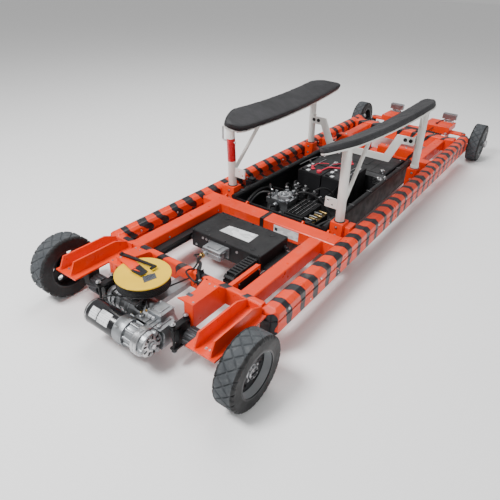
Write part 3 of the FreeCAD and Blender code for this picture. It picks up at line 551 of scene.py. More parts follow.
# ---- tyres ----
def tyre(name, wheel_x, side, body):
    """A solid tyre: rounded shoulders, ringed sidewalls and a tread cut into large diamonds."""
    around, across = 360, 40
    half = WHEEL_HALF
    profile = []
    for k in range(6):
        r = 104.5 + (WHEEL_R - 14 - 104.5) * k / 5
        dip = 1.6 if k in (2, 4) else 0.0
        profile.append((-half + dip, r, 1))
    for k in range(1, 6):
        turn = math.radians(90 * k / 6)
        profile.append((-half + 12 - 12 * math.cos(turn), WHEEL_R - 12 + 12 * math.sin(turn), 1))
    for k in range(across + 1):
        profile.append((-half + 12 + (2 * half - 24) * k / across, WHEEL_R, 0))
    profile += [(-a, r, s) for a, r, s in reversed(profile[:11])]
    verts, faces, slots = [], [], []
    for k in range(around):
        turn = 2 * math.pi * k / around
        for along, radius, slot in profile:
            depth = 0.0
            if radius > WHEEL_R - 9:
                arc = turn * WHEEL_R / (2 * math.pi * WHEEL_R / 18)
                lattice = along / 62.0
                cuts = [abs((arc + sign * lattice + 0.25) % 1.0 - 0.5) * 52.0 for sign in (-1, 1)]
                near = min(cuts)
                depth = 5.0 * max(0.0, min(1.0, (4.2 - near) / 1.8))
            reach = radius - depth
            verts.append(
                (
                    wheel_x + reach * math.cos(turn), side * TRACK_HALF + along,
                    WHEEL_R + reach * math.sin(turn)
                )
            )
    n = len(profile)
    for k in range(around):
        j = (k + 1) % around
        for i in range(n):
            m = (i + 1) % n
            faces.append((k * n + i, j * n + i, j * n + m, k * n + m))
            slots.append(1 if profile[i][2] or profile[m][2] else 0)
    made = piece(name, [at(*v) for v in verts], faces, "tyre", body, True, ["sidewall"])
    made.data.polygons.foreach_set("material_index", slots)
    made.data.set_sharp_from_angle(angle=math.radians(50))
    return made


def tyres():
    for hand, side in HANDS:
        for end, wheel_x in (("front", 0.0), ("rear", WHEELBASE)):
            body = "%s_wheel_%s" % (end, hand)
            made = tyre("%s_tyre_look_%s" % (end, hand), wheel_x, side, body)
            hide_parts("%s_tyre_%s" % (end, hand))


# ---- cradle pads ----
PAD_INNER = ((0, -24), (25, -62), (60, -84), (110, -92), (1400, -92), (1437, -84))
PAD_OUTER = (
    (0, 4), (34, 30), (94, 62), (146, 82), (190, 92), (1190, 92), (1270, 72), (1336, 40), (1437, -50)
)


def pad_point(along, across, drop):
    """A point of the left pad: along and across its top face, and drop below it."""
    run = along / (PAD_REAR - PAD_FRONT)
    y = 314.0 + 79.5 * run + across * math.cos(PAD_TILT) + drop * math.sin(PAD_TILT)
    z = 697.0 + 32.0 * (2 * run - 1) ** 2 + 3.4 * (2 * run - 1)
    z += across * math.sin(PAD_TILT) - drop * math.cos(PAD_TILT)
    return Vector((PAD_FRONT + along, y, z))


def outline_at(outline, along):
    """How far an outline stands across the pad at a place along it."""
    return float(np.interp(along, [a for a, _ in outline], [t for _, t in outline]))


def flip(points, side):
    """Points of the left pad, mirrored to the right when side is -1."""
    return [Vector((p.x, p.y * side, p.z)) for p in points]


def pad(hand, side):
    """The padded rest: a vinyl cover over foam, blown up a little by cloth; its welted edge is laid on by
    pad_trim.
    """
    length = PAD_REAR - PAD_FRONT
    shrink, stations, lanes = 3.5, 60, 9
    rows = []
    for i in range(stations + 1):
        along = shrink + (length - 2 * shrink) * (0.5 - 0.5 * math.cos(math.pi * i / stations))
        low, high = outline_at(PAD_INNER, along) + shrink, outline_at(PAD_OUTER, along) - shrink
        loop = []
        for k in range(lanes):
            t = low + (high - low) * k / (lanes - 1)
            loop.append(pad_point(along, t, shrink))
        for k in range(lanes - 1, -1, -1):
            t = low + (high - low) * k / (lanes - 1)
            loop.append(pad_point(along, t, PAD_THICK - 1.5))
        rows.append(flip(loop, side))
    n = 2 * lanes
    verts = [v for row in rows for v in row]
    faces = []
    for i in range(stations):
        for k in range(n):
            m = (k + 1) % n
            faces.append((i * n + k, i * n + m, (i + 1) * n + m, (i + 1) * n + k))
    faces += [tuple(range(n)), tuple(stations * n + k for k in range(n))]
    made = piece("cradle_pad_look_" + hand, [at(*v) for v in verts], faces, "vinyl", None)
    remesh = made.modifiers.new("remesh", "REMESH")
    remesh.mode, remesh.voxel_size, remesh.use_smooth_shade = "VOXEL", 0.0052, True
    apply_modifiers(made)
    rest = positions(made)
    cloth = made.modifiers.new("cloth", "CLOTH")
    cloth.settings.use_pressure = True
    cloth.settings.uniform_pressure_force = 4.0
    cloth.settings.effector_weights.gravity = 0.0
    cloth.settings.quality = 5
    cloth.point_cache.frame_start, cloth.point_cache.frame_end = 1, 20
    for f in range(1, 21):
        bpy.context.scene.frame_set(f)
    apply_modifiers(made)
    bpy.context.scene.frame_set(1)
    shift = positions(made) - rest
    size = np.linalg.norm(shift, axis=1, keepdims=True)
    cap = 0.0034
    shift *= np.minimum(1.0, cap / np.maximum(size, 1e-9))
    made.data.vertices.foreach_set("co", (rest + shift).ravel())
    smooth = made.modifiers.new("smooth", "SMOOTH")
    smooth.factor, smooth.iterations = 0.5, 6
    subdivide = made.modifiers.new("subdivide", "SUBSURF")
    subdivide.levels = subdivide.render_levels = 1
    apply_modifiers(made)
    made.data.polygons.foreach_set("use_smooth", [True] * len(made.data.polygons))
    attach(made, "cradle")
    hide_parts("cradle_pad_" + hand)
    return made


def apply_modifiers(made):
    """Makes the modified mesh the real one."""
    view = bpy.context.evaluated_depsgraph_get()
    fresh = bpy.data.meshes.new_from_object(made.evaluated_get(view), depsgraph=view)
    old, made.data = made.data, fresh
    made.modifiers.clear()
    bpy.data.meshes.remove(old)


def positions(made):
    """The vertices of a mesh, as an array of rows."""
    flat = np.empty(len(made.data.vertices) * 3)
    made.data.vertices.foreach_get("co", flat)
    return flat.reshape(-1, 3)


def pad_trim(made, hand, side):
    """The welt inside the top edge, laid on the finished cover."""
    length = PAD_REAR - PAD_FRONT
    surface = BVHTree.FromObject(made, bpy.context.evaluated_depsgraph_get())
    up = Vector((0, -side * math.sin(PAD_TILT), math.cos(PAD_TILT)))

    def loop(inset, lift):
        stops = [inset + (length - 2 * inset) * i / 70 for i in range(71)]
        way = [(a, outline_at(PAD_OUTER, a) - inset) for a in stops]
        way += [(a, outline_at(PAD_INNER, a) + inset) for a in reversed(stops)]
        line = []
        for a, t in way:
            spot = at(*flip([pad_point(a, t, 0)], side)[0])
            hit = surface.ray_cast(spot + up * 0.05, -up)
            here = hit[0] if hit[0] is not None else surface.find_nearest(spot)[0]
            line.append(here + up * lift)
        return line

    shape = Shape()
    back = [Vector((p.x * 1000 + ORIGIN_X, p.y * 1000, p.z * 1000)) for p in loop(13.0, 0.0002)]
    shape.tube(back + back[:1], 1.7, 8)
    shape.make("pad_welt_" + hand, "cable", "cradle")


def pads():
    for hand, side in HANDS:
        cover = pad(hand, side)
        pad_trim(cover, hand, side)


# ---- small parts ----
def patch(name, look, body, centre, radius, y_range, turns, thick=0.5):
    """A thin sheet wrapped on a round body that lies along Y; turns run from +X towards +Z, in degrees."""
    shape, steps = Shape(), 12
    verts, faces = [], []
    for k in range(steps + 1):
        turn = math.radians(turns[0] + (turns[1] - turns[0]) * k / steps)
        for r in (radius, radius + thick):
            for y in y_range:
                verts.append((centre[0] + r * math.cos(turn), y, centre[1] + r * math.sin(turn)))
    for k in range(steps):
        a, b = 4 * k, 4 * k + 4
        faces += [
            (a, a + 1, b + 1, b), (a + 2, b + 2, b + 3, a + 3), (a, b, b + 2, a + 2),
            (a + 1, a + 3, b + 3, b + 1)
        ]
    faces += [(0, 2, 3, 1), (4 * steps, 4 * steps + 1, 4 * steps + 3, 4 * steps + 2)]
    return shape.add(verts, faces).make(name, look, body)


def sheet(shape, corners, way, thick, slot=0):
    """A flat sheet over corners, thickened along way."""
    n = len(corners)
    low = [Vector(c) for c in corners]
    high = [c + Vector(way) * thick for c in low]
    faces = [tuple(range(n)), tuple(range(n, 2 * n))]
    faces += [(i, (i + 1) % n, n + (i + 1) % n, n + i) for i in range(n)]
    return shape.add(low + high, faces, slot)


def bolts(name, body, places, way, radius, look="steel", height=None):
    """One piece of several like bolts."""
    shape = Shape()
    for place in places:
        shape.bolt(place, way, radius, height)
    return shape.make(name, look, body)


def round_places(centre, radius, count, axis, start=0.0):
    """Points on a circle about centre, in the plane across axis ('y' or 'z')."""
    spots = []
    for k in range(count):
        turn = math.radians(start + 360.0 * k / count)
        a, b = radius * math.cos(turn), radius * math.sin(turn)
        x, y, z = centre
        spots.append((x + a, y, z + b) if axis == "y" else (x + a, y + b, z))
    return spots


UP, DOWN, AHEAD, BACK = (0, 0, 1), (0, 0, -1), (-1, 0, 0), (1, 0, 0)
LEFT, RIGHT = (0, 1, 0), (0, -1, 0)

# ---- reel ----
def reel_winding():
    """Five layers of cable wound on the drum, each a bulge of the closed profile."""
    coil = []
    for layer in range(5):
        z = 5.0 + 8.2 * layer
        for k in range(7):
            turn = math.pi * k / 6
            coil.append((z - 4.1 * math.cos(turn) - 0.9, 113.5 + 4.1 * math.sin(turn)))
    profile = [(0.0, 47.0)] + coil + [(41.0, 47.0)]
    winding = Shape().ring((REEL_X, REEL_Y, REEL_TOP - 47), UP, profile, 96)
    made = winding.make("reel_winding", "cable", "reel")
    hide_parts("reel_cable")


def reel_drum_details():
    """The rolled edge, the hub ring and the dark label on the yellow flange."""
    lip = [(0, 118.0), (0, 122.0), (2, 123.6), (6.4, 123.6), (7.6, 122.2), (7.6, 119.5), (6.4, 118.0)]
    Shape().ring((REEL_X, REEL_Y, REEL_TOP - 6.6), UP, lip, 96).make("reel_rolled_edge", "yellow", "reel")
    hub = Shape().ring(
        (REEL_X, REEL_Y, REEL_TOP), UP, [(0, 26), (1.6, 26), (2.4, 24.5), (2.4, 12), (0, 12)], 48
    )
    hub.make("reel_hub_ring", "yellow", "reel")
    mark = sheet(Shape(), [(36, 34, 305.1), (87, 8, 305.1), (66, -26, 305.1), (7, -10, 305.1)], UP, 0.5)
    mark.make("reel_label", "dark_label", "reel")


def striped_arm_details():
    """The black vee, its orange inlay and the two bolts on the arm over the drum."""
    vee = [(26, 96, ARM_TOP), (54, 90, ARM_TOP), (60, 28, ARM_TOP), (48, 26, ARM_TOP), (24, 30, ARM_TOP)]
    tip = sheet(Shape(), vee, UP, 0.8)
    sheet(tip, [(36, 88, ARM_TOP + 0.9), (47, 86, ARM_TOP + 0.9), (44, 52, ARM_TOP + 0.9)], UP, 0.5, 1)
    tip.make("arm_black_vee", "black_gloss", "chassis", ["orange"])
    bolts("arm_bolts", "chassis", [(96, 204, ARM_TOP), (70, 208, ARM_TOP)], UP, 5, height=2.4)


def latch_details():
    """The screw and the grip on the hooked lever."""
    bolts("latch_screw", "latch", [(84, 214, 324)], UP, 6.5, "black")
    grip = Shape().rod((84 + 9, 152, 320.5), (0.13, -0.99, 0), 6.5, 62, 20, bevel=3)
    grip.make("latch_grip", "black_gloss", "latch")


def guard_wires():
    """The bent wires under the drum."""
    guard = Shape()
    for y in (-34, 112):
        guard.tube([(-60, y, 224), (-66, y, 246), (20, y * 1.02, 250)], 4.0)
    guard.tube([(-66, -34, 243), (-72, 40, 245), (-66, 112, 243)], 4.0)
    guard.make("reel_guard_wires", "black", "chassis")


# ---- drive motor and gear head ----
def drive_motor_details():
    """Two labels on the barrel and the bright ring at its end."""
    motor = (MOTOR_X, MOTOR_Z)
    patch("motor_label_narrow", "label", "chassis", motor, 58.2, (97, 143), (112, 160))
    patch("motor_label_wide", "label", "chassis", motor, 58.2, (26, 91), (104, 163))
    ringed = [(0, 56.0), (0, 58.8), (6, 58.8), (7.5, 57.4), (7.5, 54.0)]
    Shape().ring((MOTOR_X, 163, MOTOR_Z), LEFT, ringed, 64).make("motor_end_ring", "bright", "chassis")


def gear_head_bell():
    """The seam, the clamping lugs and the cast ribs of the gear head."""
    Shape().ring(
        (MOTOR_X, -12, MOTOR_Z), LEFT, [(0, 57), (0, 60.5), (5, 60.5), (6.4, 58.4), (6.4, 57)], 64
    ).make("motor_bell_seam", "aluminium", "chassis")
    bell = Shape()
    for place in round_places((MOTOR_X, -15, MOTOR_Z), 62.5, 4, "y", 45):
        bell.rod((place[0], -34, place[2]), LEFT, 5.0, 22, 12, bevel=1.5)
        bell.bolt((place[0], -34, place[2]), RIGHT, 4.2, slot=1)
    for k in range(10):
        turn = math.radians(36 * k + 18)
        x, z = MOTOR_X + 52 * math.cos(turn), MOTOR_Z + 52 * math.sin(turn)
        bell.turned((x, -66, z), RIGHT, [(0, 6), (52, 3.2)], 8)
    bell.make("gear_head_ribs", "aluminium", "chassis", ["steel"])


def gear_head_face():
    """The bright flanges, the end face, its slots and its bolts."""
    face = Shape().ring(
        (MOTOR_X, -121.5, MOTOR_Z), RIGHT, [(0, 50), (0, 64.2), (13, 64.2), (14.2, 62.8), (14.2, 50)], 80
    )
    face.ring(
        (MOTOR_X, -139, MOTOR_Z), RIGHT, [(0, 50), (0, 64.2), (12, 64.2), (14.5, 61.5), (14.5, 50)], 80
    )
    face.make("gear_flange_rings", "bright", "chassis")
    nose = Shape().ring(
        (MOTOR_X, -176, MOTOR_Z), RIGHT, [(0, 20), (0, 52), (1.5, 53), (4, 53), (5, 51.5), (5, 20)], 64
    )
    nose.rod((MOTOR_X, -190, MOTOR_Z), RIGHT, 11, 3.5, 24, bevel=1.2)
    nose.make("gear_end_face", "bright", "chassis")
    slots = Shape()
    for k in range(9):
        turn = math.radians(40 * k)
        block = Shape().box(30, 46, -181.7, -180.6, -4.5, 4.5)
        block.moved(Matrix.Rotation(turn, 4, "Y")).moved(Matrix.Translation((MOTOR_X, 0, MOTOR_Z)))
        slots.join(block)
    slots.make("gear_end_slots", "black", "chassis")
    bolts(
        "gear_end_bolts", "chassis", round_places((MOTOR_X, -181, MOTOR_Z), 38, 3, "y", 20), RIGHT, 4.5,
        "steel"
    )


def axle_housing_lid():
    """The stepped lid on the transaxle with its plugs and bolts."""
    cover = Shape()
    for y in (-172, -150, -128, -106):
        cover.box(-88, -4, y, y + 6, 200, 205)
    cover.box(-48, 33, -158, -77, 229, 234)
    cover.box(-30, 22, -140, -95, 234, 238)
    cover.rod((-70, -168, 200), UP, 10, 12, 20, bevel=2)
    cover.rod((-66, -62, 196), UP, 12, 14, 20, bevel=2)
    cover.make("axle_housing_lid", "aluminium", "chassis", edge=0.001)
    bolts("housing_lid_bolts", "chassis", [(x, y, 234) for x in (-40, 25) for y in (-150, -85)], UP, 4.4)


def axle_housing_ribs():
    """Rings and bolt circles along the axle tubes."""
    ribs = Shape()
    for y in (-104, -82, 28):
        ribs.ring((0, y, AXLE_Z), LEFT, [(0, 62), (0, 69.6), (4, 69.6), (4, 62)], 64)
    for y in (66, 100, 134, 162):
        ribs.ring((0, y, AXLE_Z), LEFT, [(0, 46), (0, 53), (4, 53), (4, 46)], 48)
    ribs.ring((0, 50, AXLE_Z), LEFT, [(0, 48), (0, 62), (9, 62), (10, 60), (10, 48)], 48)
    ribs.make("axle_housing_ribs", "aluminium", "chassis")
    bolts("axle_flange_bolts", "chassis", round_places((0, 60, AXLE_Z), 56, 8, "y", 12), LEFT, 4)
    bolts("axle_cone_bolts", "chassis", round_places((0, -121, AXLE_Z), 59, 8, "y", 5), RIGHT, 4)


def motor_wiring():
    """The brass glands, the plug and the leads from the motor to the frame."""
    gland = Shape().rod((-37, -65, 205), UP, 9, 10, 6).rod((-37, -65, 215), UP, 6.5, 7, 20, bevel=1)
    gland.rod((-52, -46, 203), UP, 6, 9, 6)
    gland.make("housing_brass_gland", "brass", "chassis")
    plug = Shape().box(-52, -18, -48, -14, 200, 216).box(-46, -24, -42, -20, 216, 226)
    plug.tube(
        [
            (-35, -31, 224), (-30, -22, 246), (-5, 20, 246), (60, 70, 240), (190, 150, 236),
            (250, 170, 236)
        ],
        4.2
    )
    plug.tube([(-37, -65, 220), (-34, -62, 236), (10, -30, 243), (110, -40, 238), (225, -70, 240)], 4.0)
    plug.tube([(-28, -24, 224), (-40, 20, 240), (-50, 90, 222), (-60, 150, 200), (-80, 168, 192)], 3.6)
    plug.make("motor_leads", "cable", "chassis", edge=0.001)


# ---- axle clamps, arms and frame ----
def axle_clamp_bolts():
    """Bolt heads above and nuts below the axle clamps."""
    clamp_spots = [(x, side * 228, 234) for x in (-52, 24) for side in (-1, 1)]
    bolts("clamp_bolt_heads", "chassis", clamp_spots, UP, 9, "steel", 7)
    bolts("clamp_nuts", "chassis", [(x, y, 92) for x, y, z in clamp_spots], DOWN, 9, "steel", 7)


def arm_screws():
    """Bolts in the wheel arms, screws in the boxes and the small printed mark."""
    arm_spots = [(x, side * y, 222.2) for side in (-1, 1) for x in (-60, 180) for y in (412, 432)]
    bolts("arm_floor_bolts", "chassis", arm_spots, UP, 4.6)
    box_spots = [(x, side * y, 290) for side in (-1, 1) for x, y in ((52, 246), (190, 246), (190, 216))]
    bolts("housing_plate_screws", "chassis", box_spots, UP, 3.6)
    print_mark = sheet(
        Shape(), [(72, -216, 290), (92, -216, 290), (92, -186, 290), (72, -186, 290)], UP, 0.4
    )
    print_mark.make("housing_print", "dark_label", "chassis")


def weld_beads():
    """Beads where the rails and beams meet the crossbeams."""
    weld = Shape()
    for side in (-1, 1):
        for x, y in ((905, 306), (905, 379), (285, 306), (285, 379)):
            weld.tube([(x, side * y, 168), (x, side * y, 239)], 2.6, 8)
        for y in (306, 379):
            weld.tube([(2500, side * y, 168), (2500, side * y, 239)], 2.6, 8)
            weld.tube([(3080, side * y, 168), (3080, side * y, 239)], 2.6, 8)
        for x0, x1 in ((905, 1005), (2420, 2500), (3080, 3170)):
            weld.tube([(x0 + 6, side * 448, 243), (x1 - 6, side * 448, 243)], 2.4, 8)
    weld.make("weld_beads", "orange", "chassis")


def rail_bolts():
    """Bolts on the inner faces of the rails."""
    rail = [(x, side * 305.8, 203) for side in (-1, 1) for x in (300, 470, 880, 2620, 2960)]
    inner = Shape()
    for x, y, z in rail:
        inner.bolt((x, y, z), (0, -math.copysign(1, y), 0), 5.2)
    inner.make("rail_bolts", "steel", "chassis")


def beam_screw_heads():
    """Small pale heads along the outer faces of the side beams."""
    heads = Shape()
    for x in (340, 620, 1300, 1750, 2300, 2850):
        for side in (-1, 1):
            heads.rod((x, side * 533, 222), (0, side, 0), 4.0, 1.6, 6)
        for side in (-1, 1):
            heads.rod((x + 200, side * 528, 150), (0, side, 0), 5.0, 3.4, 20, bevel=1.2)
    heads.make("beam_screw_heads", "white", "chassis")


def crossbeam_marks():
    """The strap round the second crossbeam and the white label beside it."""
    strap = Shape()
    for x0, x1, z0, z1 in ((904, 905, 164, 241.6), (1005, 1006, 164, 241.6), (904, 1006, 241, 242.4)):
        strap.box(x0, x1, -4, 22, z0, z1)
    strap.make("crossbeam_strap", "cable", "chassis")
    sign = Shape().box(904.2, 904.9, -235, -75, 178, 232)
    sign.box(903.8, 904.2, -100, -82, 196, 216, 1)
    sign.make("crossbeam_label", "label", "chassis", ["dark_label"])


# ---- carriage, connector, chain ----
def carriage_details():
    """The lid, its plugs and label, the face bolts and the side plugs."""
    lid = Shape().box(557.5, 817.5, -221.5, 221.5, 243, 245.2)
    for y in (-210, -105, 0, 105, 210):
        for x in (566, 809):
            lid.bolt((x, y, 245.2), UP, 3.6, slot=1)
    lid.make("carriage_lid", "black", "carriage", ["black_gloss"], edge=0.0012)
    wells = Shape()
    for x in (600, 775):
        for y in (-150, 150):
            wells.ring((x, y, 245), UP, [(0, 11), (0, 15.5), (1.3, 15.5), (1.9, 14.4), (0.8, 11.5)], 32)
            wells.rod((x, y, 245), UP, 10.5, 0.6, 32)
    wells.make("carriage_plugs", "black_plastic", "carriage")
    name_plate = sheet(
        Shape(), [(637, 98, 245.3), (712, 88, 245.3), (730, -92, 245.3), (637, -96, 245.3)], UP, 0.5
    )
    name_plate.make("carriage_label", "label", "carriage")
    bolts(
        "carriage_face_bolts", "carriage", [(555, y, 221) for y in (143, 118, -84, -200)], AHEAD, 5.5,
        "bright"
    )
    bolts("carriage_low_bolts", "carriage", [(555, y, 166) for y in (190, 132, -110, -200)], AHEAD, 5.0)
    side_plug = Shape()
    for side in (-1, 1):
        side_plug.rod((780, side * 224, 200), (0, side, 0), 12, 14, 24, bevel=2)
        side_plug.rod((780, side * 238, 200), (0, side, 0), 8, 12, 12, bevel=2)
    side_plug.make("carriage_side_plugs", "black_plastic", "carriage")


def connector_details():
    """The latches on the plug hood and its brass gland."""
    hood = Shape().box(484, 556, -31, 95, 196, 201).box(548, 556, -36, 100, 164, 226)
    hood.box(500, 540, -2, 66, 222, 226)
    for y in (-32, 88):
        hood.box(510, 530, y, y + 8, 178, 214)
    hood.make("connector_latches", "aluminium", "carriage", edge=0.0012)
    nut = Shape().rod((466, 66, 190), AHEAD, 15, 10, 6).rod((452, 66, 190), AHEAD, 11, 6, 24, bevel=2)
    nut.make("connector_gland", "brass", "carriage")


def control_cable():
    """The cable from the gland to the clip."""
    route = [
        (465.5, 66, 190), (448, 64, 188), (415, 52, 188), (382, 22, 206), (340, -22, 246),
        (306, -60, 268), (262, -92, 265)
    ]
    cable = Shape().tube(route, 7.6, 16).make("control_cable_look", "cable", None)
    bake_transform(cable)
    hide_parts("control_cable")


def cable_loops():
    """The thinner leads beside the control cable."""
    loose = Shape().tube(
        [
            (466, 84, 186), (430, 92, 194), (396, 52, 220), (340, -10, 256), (300, -44, 266),
            (262, -56, 262)
        ],
        4.4
    )
    loose.tube(
        [
            (262, -56, 262), (238, -52, 270), (208, -62, 276), (192, -96, 272), (186, -132, 266),
            (196, -150, 262)
        ],
        4.4
    )
    loose.tube(
        [(300, -60, 264), (272, -72, 264), (252, -96, 264), (230, -118, 266), (206, -140, 264)], 5.0
    )
    loops = loose.make("cable_loops", "cable", None)
    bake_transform(loops)


def cable_clips():
    """The clips on the front crossbeam."""
    clip = Shape().box(
        186, 214, -160, -140, 256, 259
    ).box(188, 212, -158, -142, 259, 272).box(255, 281, -108, -78, 255, 258)
    clip.box(258, 278, -84, -80, 258, 274).box(258, 278, -106, -102, 258, 274)
    clip.box(186, 250, -152, -146, 250, 256)
    clip.make("cable_clips", "black_gloss", "chassis", edge=0.001)
    bolts("cable_clip_screw", "chassis", [(200, -150, 272)], UP, 5, "bright")


def chain_links():
    """Links round the chain's U: a pair of side plates with a bar over and under the cables."""
    low, high, bend_x, end_x, gauge = 150.0, 232.0, 390.0, 553.0, 23.4
    mid, radius = (low + high) / 2, (high - low - gauge) / 2
    straight = end_x - bend_x
    total = 2 * straight + math.pi * radius
    count = int(total // 21)
    shape = Shape()
    for k in range(count):
        s = (k + 0.5) * total / count
        if s < straight:
            x, z, turn = end_x - s, mid + radius, 0.0
        elif s < straight + math.pi * radius:
            turn = (s - straight) / radius
            x, z = bend_x - radius * math.sin(turn), mid + radius * math.cos(turn)
        else:
            x, z, turn = bend_x + s - straight - math.pi * radius, mid - radius, math.pi
        step = 1.3 if k % 2 else 0.0
        link, half = Shape(), gauge / 2
        for y0, y1 in ((-214 + step, -209 + step), (-163 - step, -158 - step)):
            link.box(-10.4, 10.4, y0, y1, -half, half)
            link.rod((0, y0 - 0.5, 0), LEFT, 5.2, 6.0, 20)
        for z0, z1 in ((half - 3.0, half + 0.2), (-half - 0.2, -half + 3.0)):
            link.box(-6.2, 6.2, -212, -160, z0, z1)
            link.box(-2.0, 2.0, -200, -172, z0 - 0.4, z1 + 0.5)
        link.moved(Matrix.Rotation(-turn, 4, "Y")).moved(Matrix.Translation((x, 0, z)))
        shape.join(link)
    for y in (-202, -192, -183, -173):
        shape.tube(
            [
                (552, y, 220), (400, y, 220), (364, y, 205), (361, y, 185), (372, y, 165), (400, y, 161),
                (552, y, 161)
            ],
            4.0, 8
        )
    made = shape.make("energy_chain_look", "black_plastic", None, edge=0.0008)
    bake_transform(made)
    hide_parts("energy_chain")


def guide_details():
    """The dark panel and the orange frame on the chain guide."""
    panel = Shape().box(330, 500, -263.8, -262, 176, 232)
    panel.make("guide_panel", "black", "chassis", edge=0.001)
    bolts("guide_screws", "chassis", [(x, -263.8, z) for x in (338, 492) for z in (182, 226)], RIGHT, 3.6)
    edges = Shape().box(326, 504, -265, -262, 232, 237).box(326, 504, -265, -262, 168, 173)
    edges.box(500, 505, -265, -262, 168, 237).box(325, 330, -265, -262, 168, 237)
    edges.make("guide_frame", "orange", "chassis", edge=0.001)


# ---- pump, motor and hoses ----
def pump_manifold():
    """The cast pump body with its caps, ports and hexagon plugs."""
    unit = Shape()
    for place in round_places((1253, 80, 246), 34, 6, "z", 15):
        unit.bolt(place, UP, 4.6, slot=1)
    unit.rod((1253, 80, 246), UP, 20, 9, 32, bevel=3)
    unit.rod((1253, 80, 255), UP, 9, 6, 6, slot=1)
    unit.rod((1218, 34, 222), UP, 15, 14, 24, bevel=3)
    unit.rod((1292, 38, 222), UP, 13, 10, 24, bevel=3)
    unit.box(1300, 1352, 30, 130, 150, 226)
    unit.box(1204, 1300, 140, 182, 182, 214)
    unit.rod((1326, 56, 226), UP, 12, 26, 24, bevel=2)
    unit.rod((1326, 104, 226), UP, 12, 22, 24, bevel=2)
    unit.rod((1210, 150, 214), UP, 8, 14, 6, slot=1)
    unit.rod((1248, 160, 214), UP, 10, 18, 6, slot=1)
    unit.rod((1286, 156, 214), UP, 8, 12, 6, slot=1)
    unit.rod((1190, 96, 196), AHEAD, 14, 30, 24, bevel=3)
    unit.rod((1190, 60, 150), AHEAD, 11, 22, 6, slot=1)
    unit.make("pump_manifold", "aluminium", "chassis", ["bright"], edge=0.0012)


def valve_block():
    """Five solenoid coils on the black valve block."""
    coils = Shape()
    for x, y in ((1368, 6), (1368, 66), (1398, -54), (1430, 30), (1436, 92)):
        coils.box(x - 19, x + 19, y - 19, y + 19, 196, 238)
        coils.rod((x, y, 238), UP, 7, 14, 20, slot=1, bevel=1)
        coils.rod((x, y, 252), UP, 9, 6, 6, slot=1)
        coils.box(x - 12, x + 12, y + 19, y + 31, 204, 230)
    coils.box(1340, 1462, -84, 118, 120, 196)
    coils.box(1345, 1458, -80, -70, 196, 206, 1)
    coils.make("valve_block", "black", "chassis", ["steel"], edge=0.0015)


def pump_motor_details():
    """The ribbed motor and its end plates, with painted highlights: bright metal strips on alternate rib
    tops.
    """
    ribbed = Shape()
    for k in range(9):
        y = -133.0 + 13.2 * k
        ribbed.box(1112, 1328, y, y + 3.6, 211, 217)
    ribbed.box(1100, 1110, -142, -18, 96, 214, 1).box(1330, 1338, -142, -18, 96, 214, 1)
    for y in (-130, -30):
        for z in (110, 200):
            ribbed.bolt((1100, y, z), AHEAD, 5.5, slot=1)
    ribbed.rod((1100, -80, 150), AHEAD, 26, 20, 32, bevel=3)
    # Painted highlight: bright metal strips laid on the tops of every other rib.
    for k in range(1, 9, 2):
        y = -133.0 + 13.2 * k
        ribbed.box(1116, 1324, y + 0.4, y + 3.2, 217, 219.5, 2)
    ribbed.make("pump_motor_ribs", "black", "chassis", ["black", "bright"])


def relay_bank():
    """Steel and brass strips on the black relay base."""
    strips = Shape()
    for k, (x, y) in enumerate(
        ((1128, -150), (1150, -168), (1176, -156), (1204, -172), (1232, -158), (1262, -174))
    ):
        strips.box(x, x + 9, y - 44, y + 8, 190, 206, k % 2)
    strips.box(1120, 1290, -214, -148, 120, 190, 2)
    strips.make("relay_bank", "steel", "chassis", ["brass", "black"], edge=0.001)


def hydraulic_hoses():
    """Hoses from the pump to the tray walls."""
    hoses = Shape()
    for path, r in (
        (((1210, 150, 226), (1206, 168, 250), (1180, 214, 240), (1140, 252, 180), (1110, 262, 100)), 7.5),
        (((1248, 160, 230), (1262, 190, 256), (1320, 230, 246), (1400, 262, 190), (1470, 268, 110)), 7.5),
        (((1160, 96, 196), (1120, 100, 200), (1070, 60, 180), (1060, -20, 140), (1062, -90, 110)), 9.0),
        (((1292, 38, 230), (1310, -4, 262), (1350, -60, 250), (1390, -120, 200), (1400, -190, 120)), 7.5),
        (((1326, 104, 246), (1350, 128, 262), (1420, 150, 240), (1500, 170, 170), (1520, 172, 100)), 6.5),
        (((1368, 66, 258), (1400, 98, 268), (1470, 120, 250), (1540, 110, 180), (1560, 90, 110)), 5.5),
        (
            ((1398, -54, 258), (1440, -80, 268), (1500, -110, 240), (1540, -150, 160), (1560, -180, 100)),
            5.5
        ),
        (
            ((1060, 262, 140), (1150, 272, 190), (1280, 292, 200), (1400, 286, 180), (1560, 240, 110)),
            11.0
        ),
        (
            (
                (1068, -180, 120), (1090, -240, 190), (1180, -272, 205), (1300, -280, 190),
                (1420, -262, 120)
            ),
            10.0
        ),
        (((1080, -110, 130), (1072, -160, 176), (1110, -196, 206), (1160, -206, 200)), 6.0),
    ):
        hoses.tube(path, r, 12)
    hoses.make("hydraulic_hoses", "cable", "chassis")


def hose_fittings():
    """Crimped fittings at the ends of the hoses."""
    ties = Shape()
    for x, y, z, way in (
        (1206, 160, 238, (0, 0.6, 0.8)), (1254, 172, 242, (0.3, 0.7, 0.6)),
        (1300, 20, 246, (0.3, -0.7, 0.6)), (1334, 112, 252, (0.6, 0.6, 0.5)), (1172, 97, 196, AHEAD),
        (1378, 76, 261, (0.7, 0.7, 0.3))
    ):
        ties.rod((x, y, z), way, 10.5, 9, 6, bevel=1)
    ties.make("hose_fittings", "bright", "chassis")


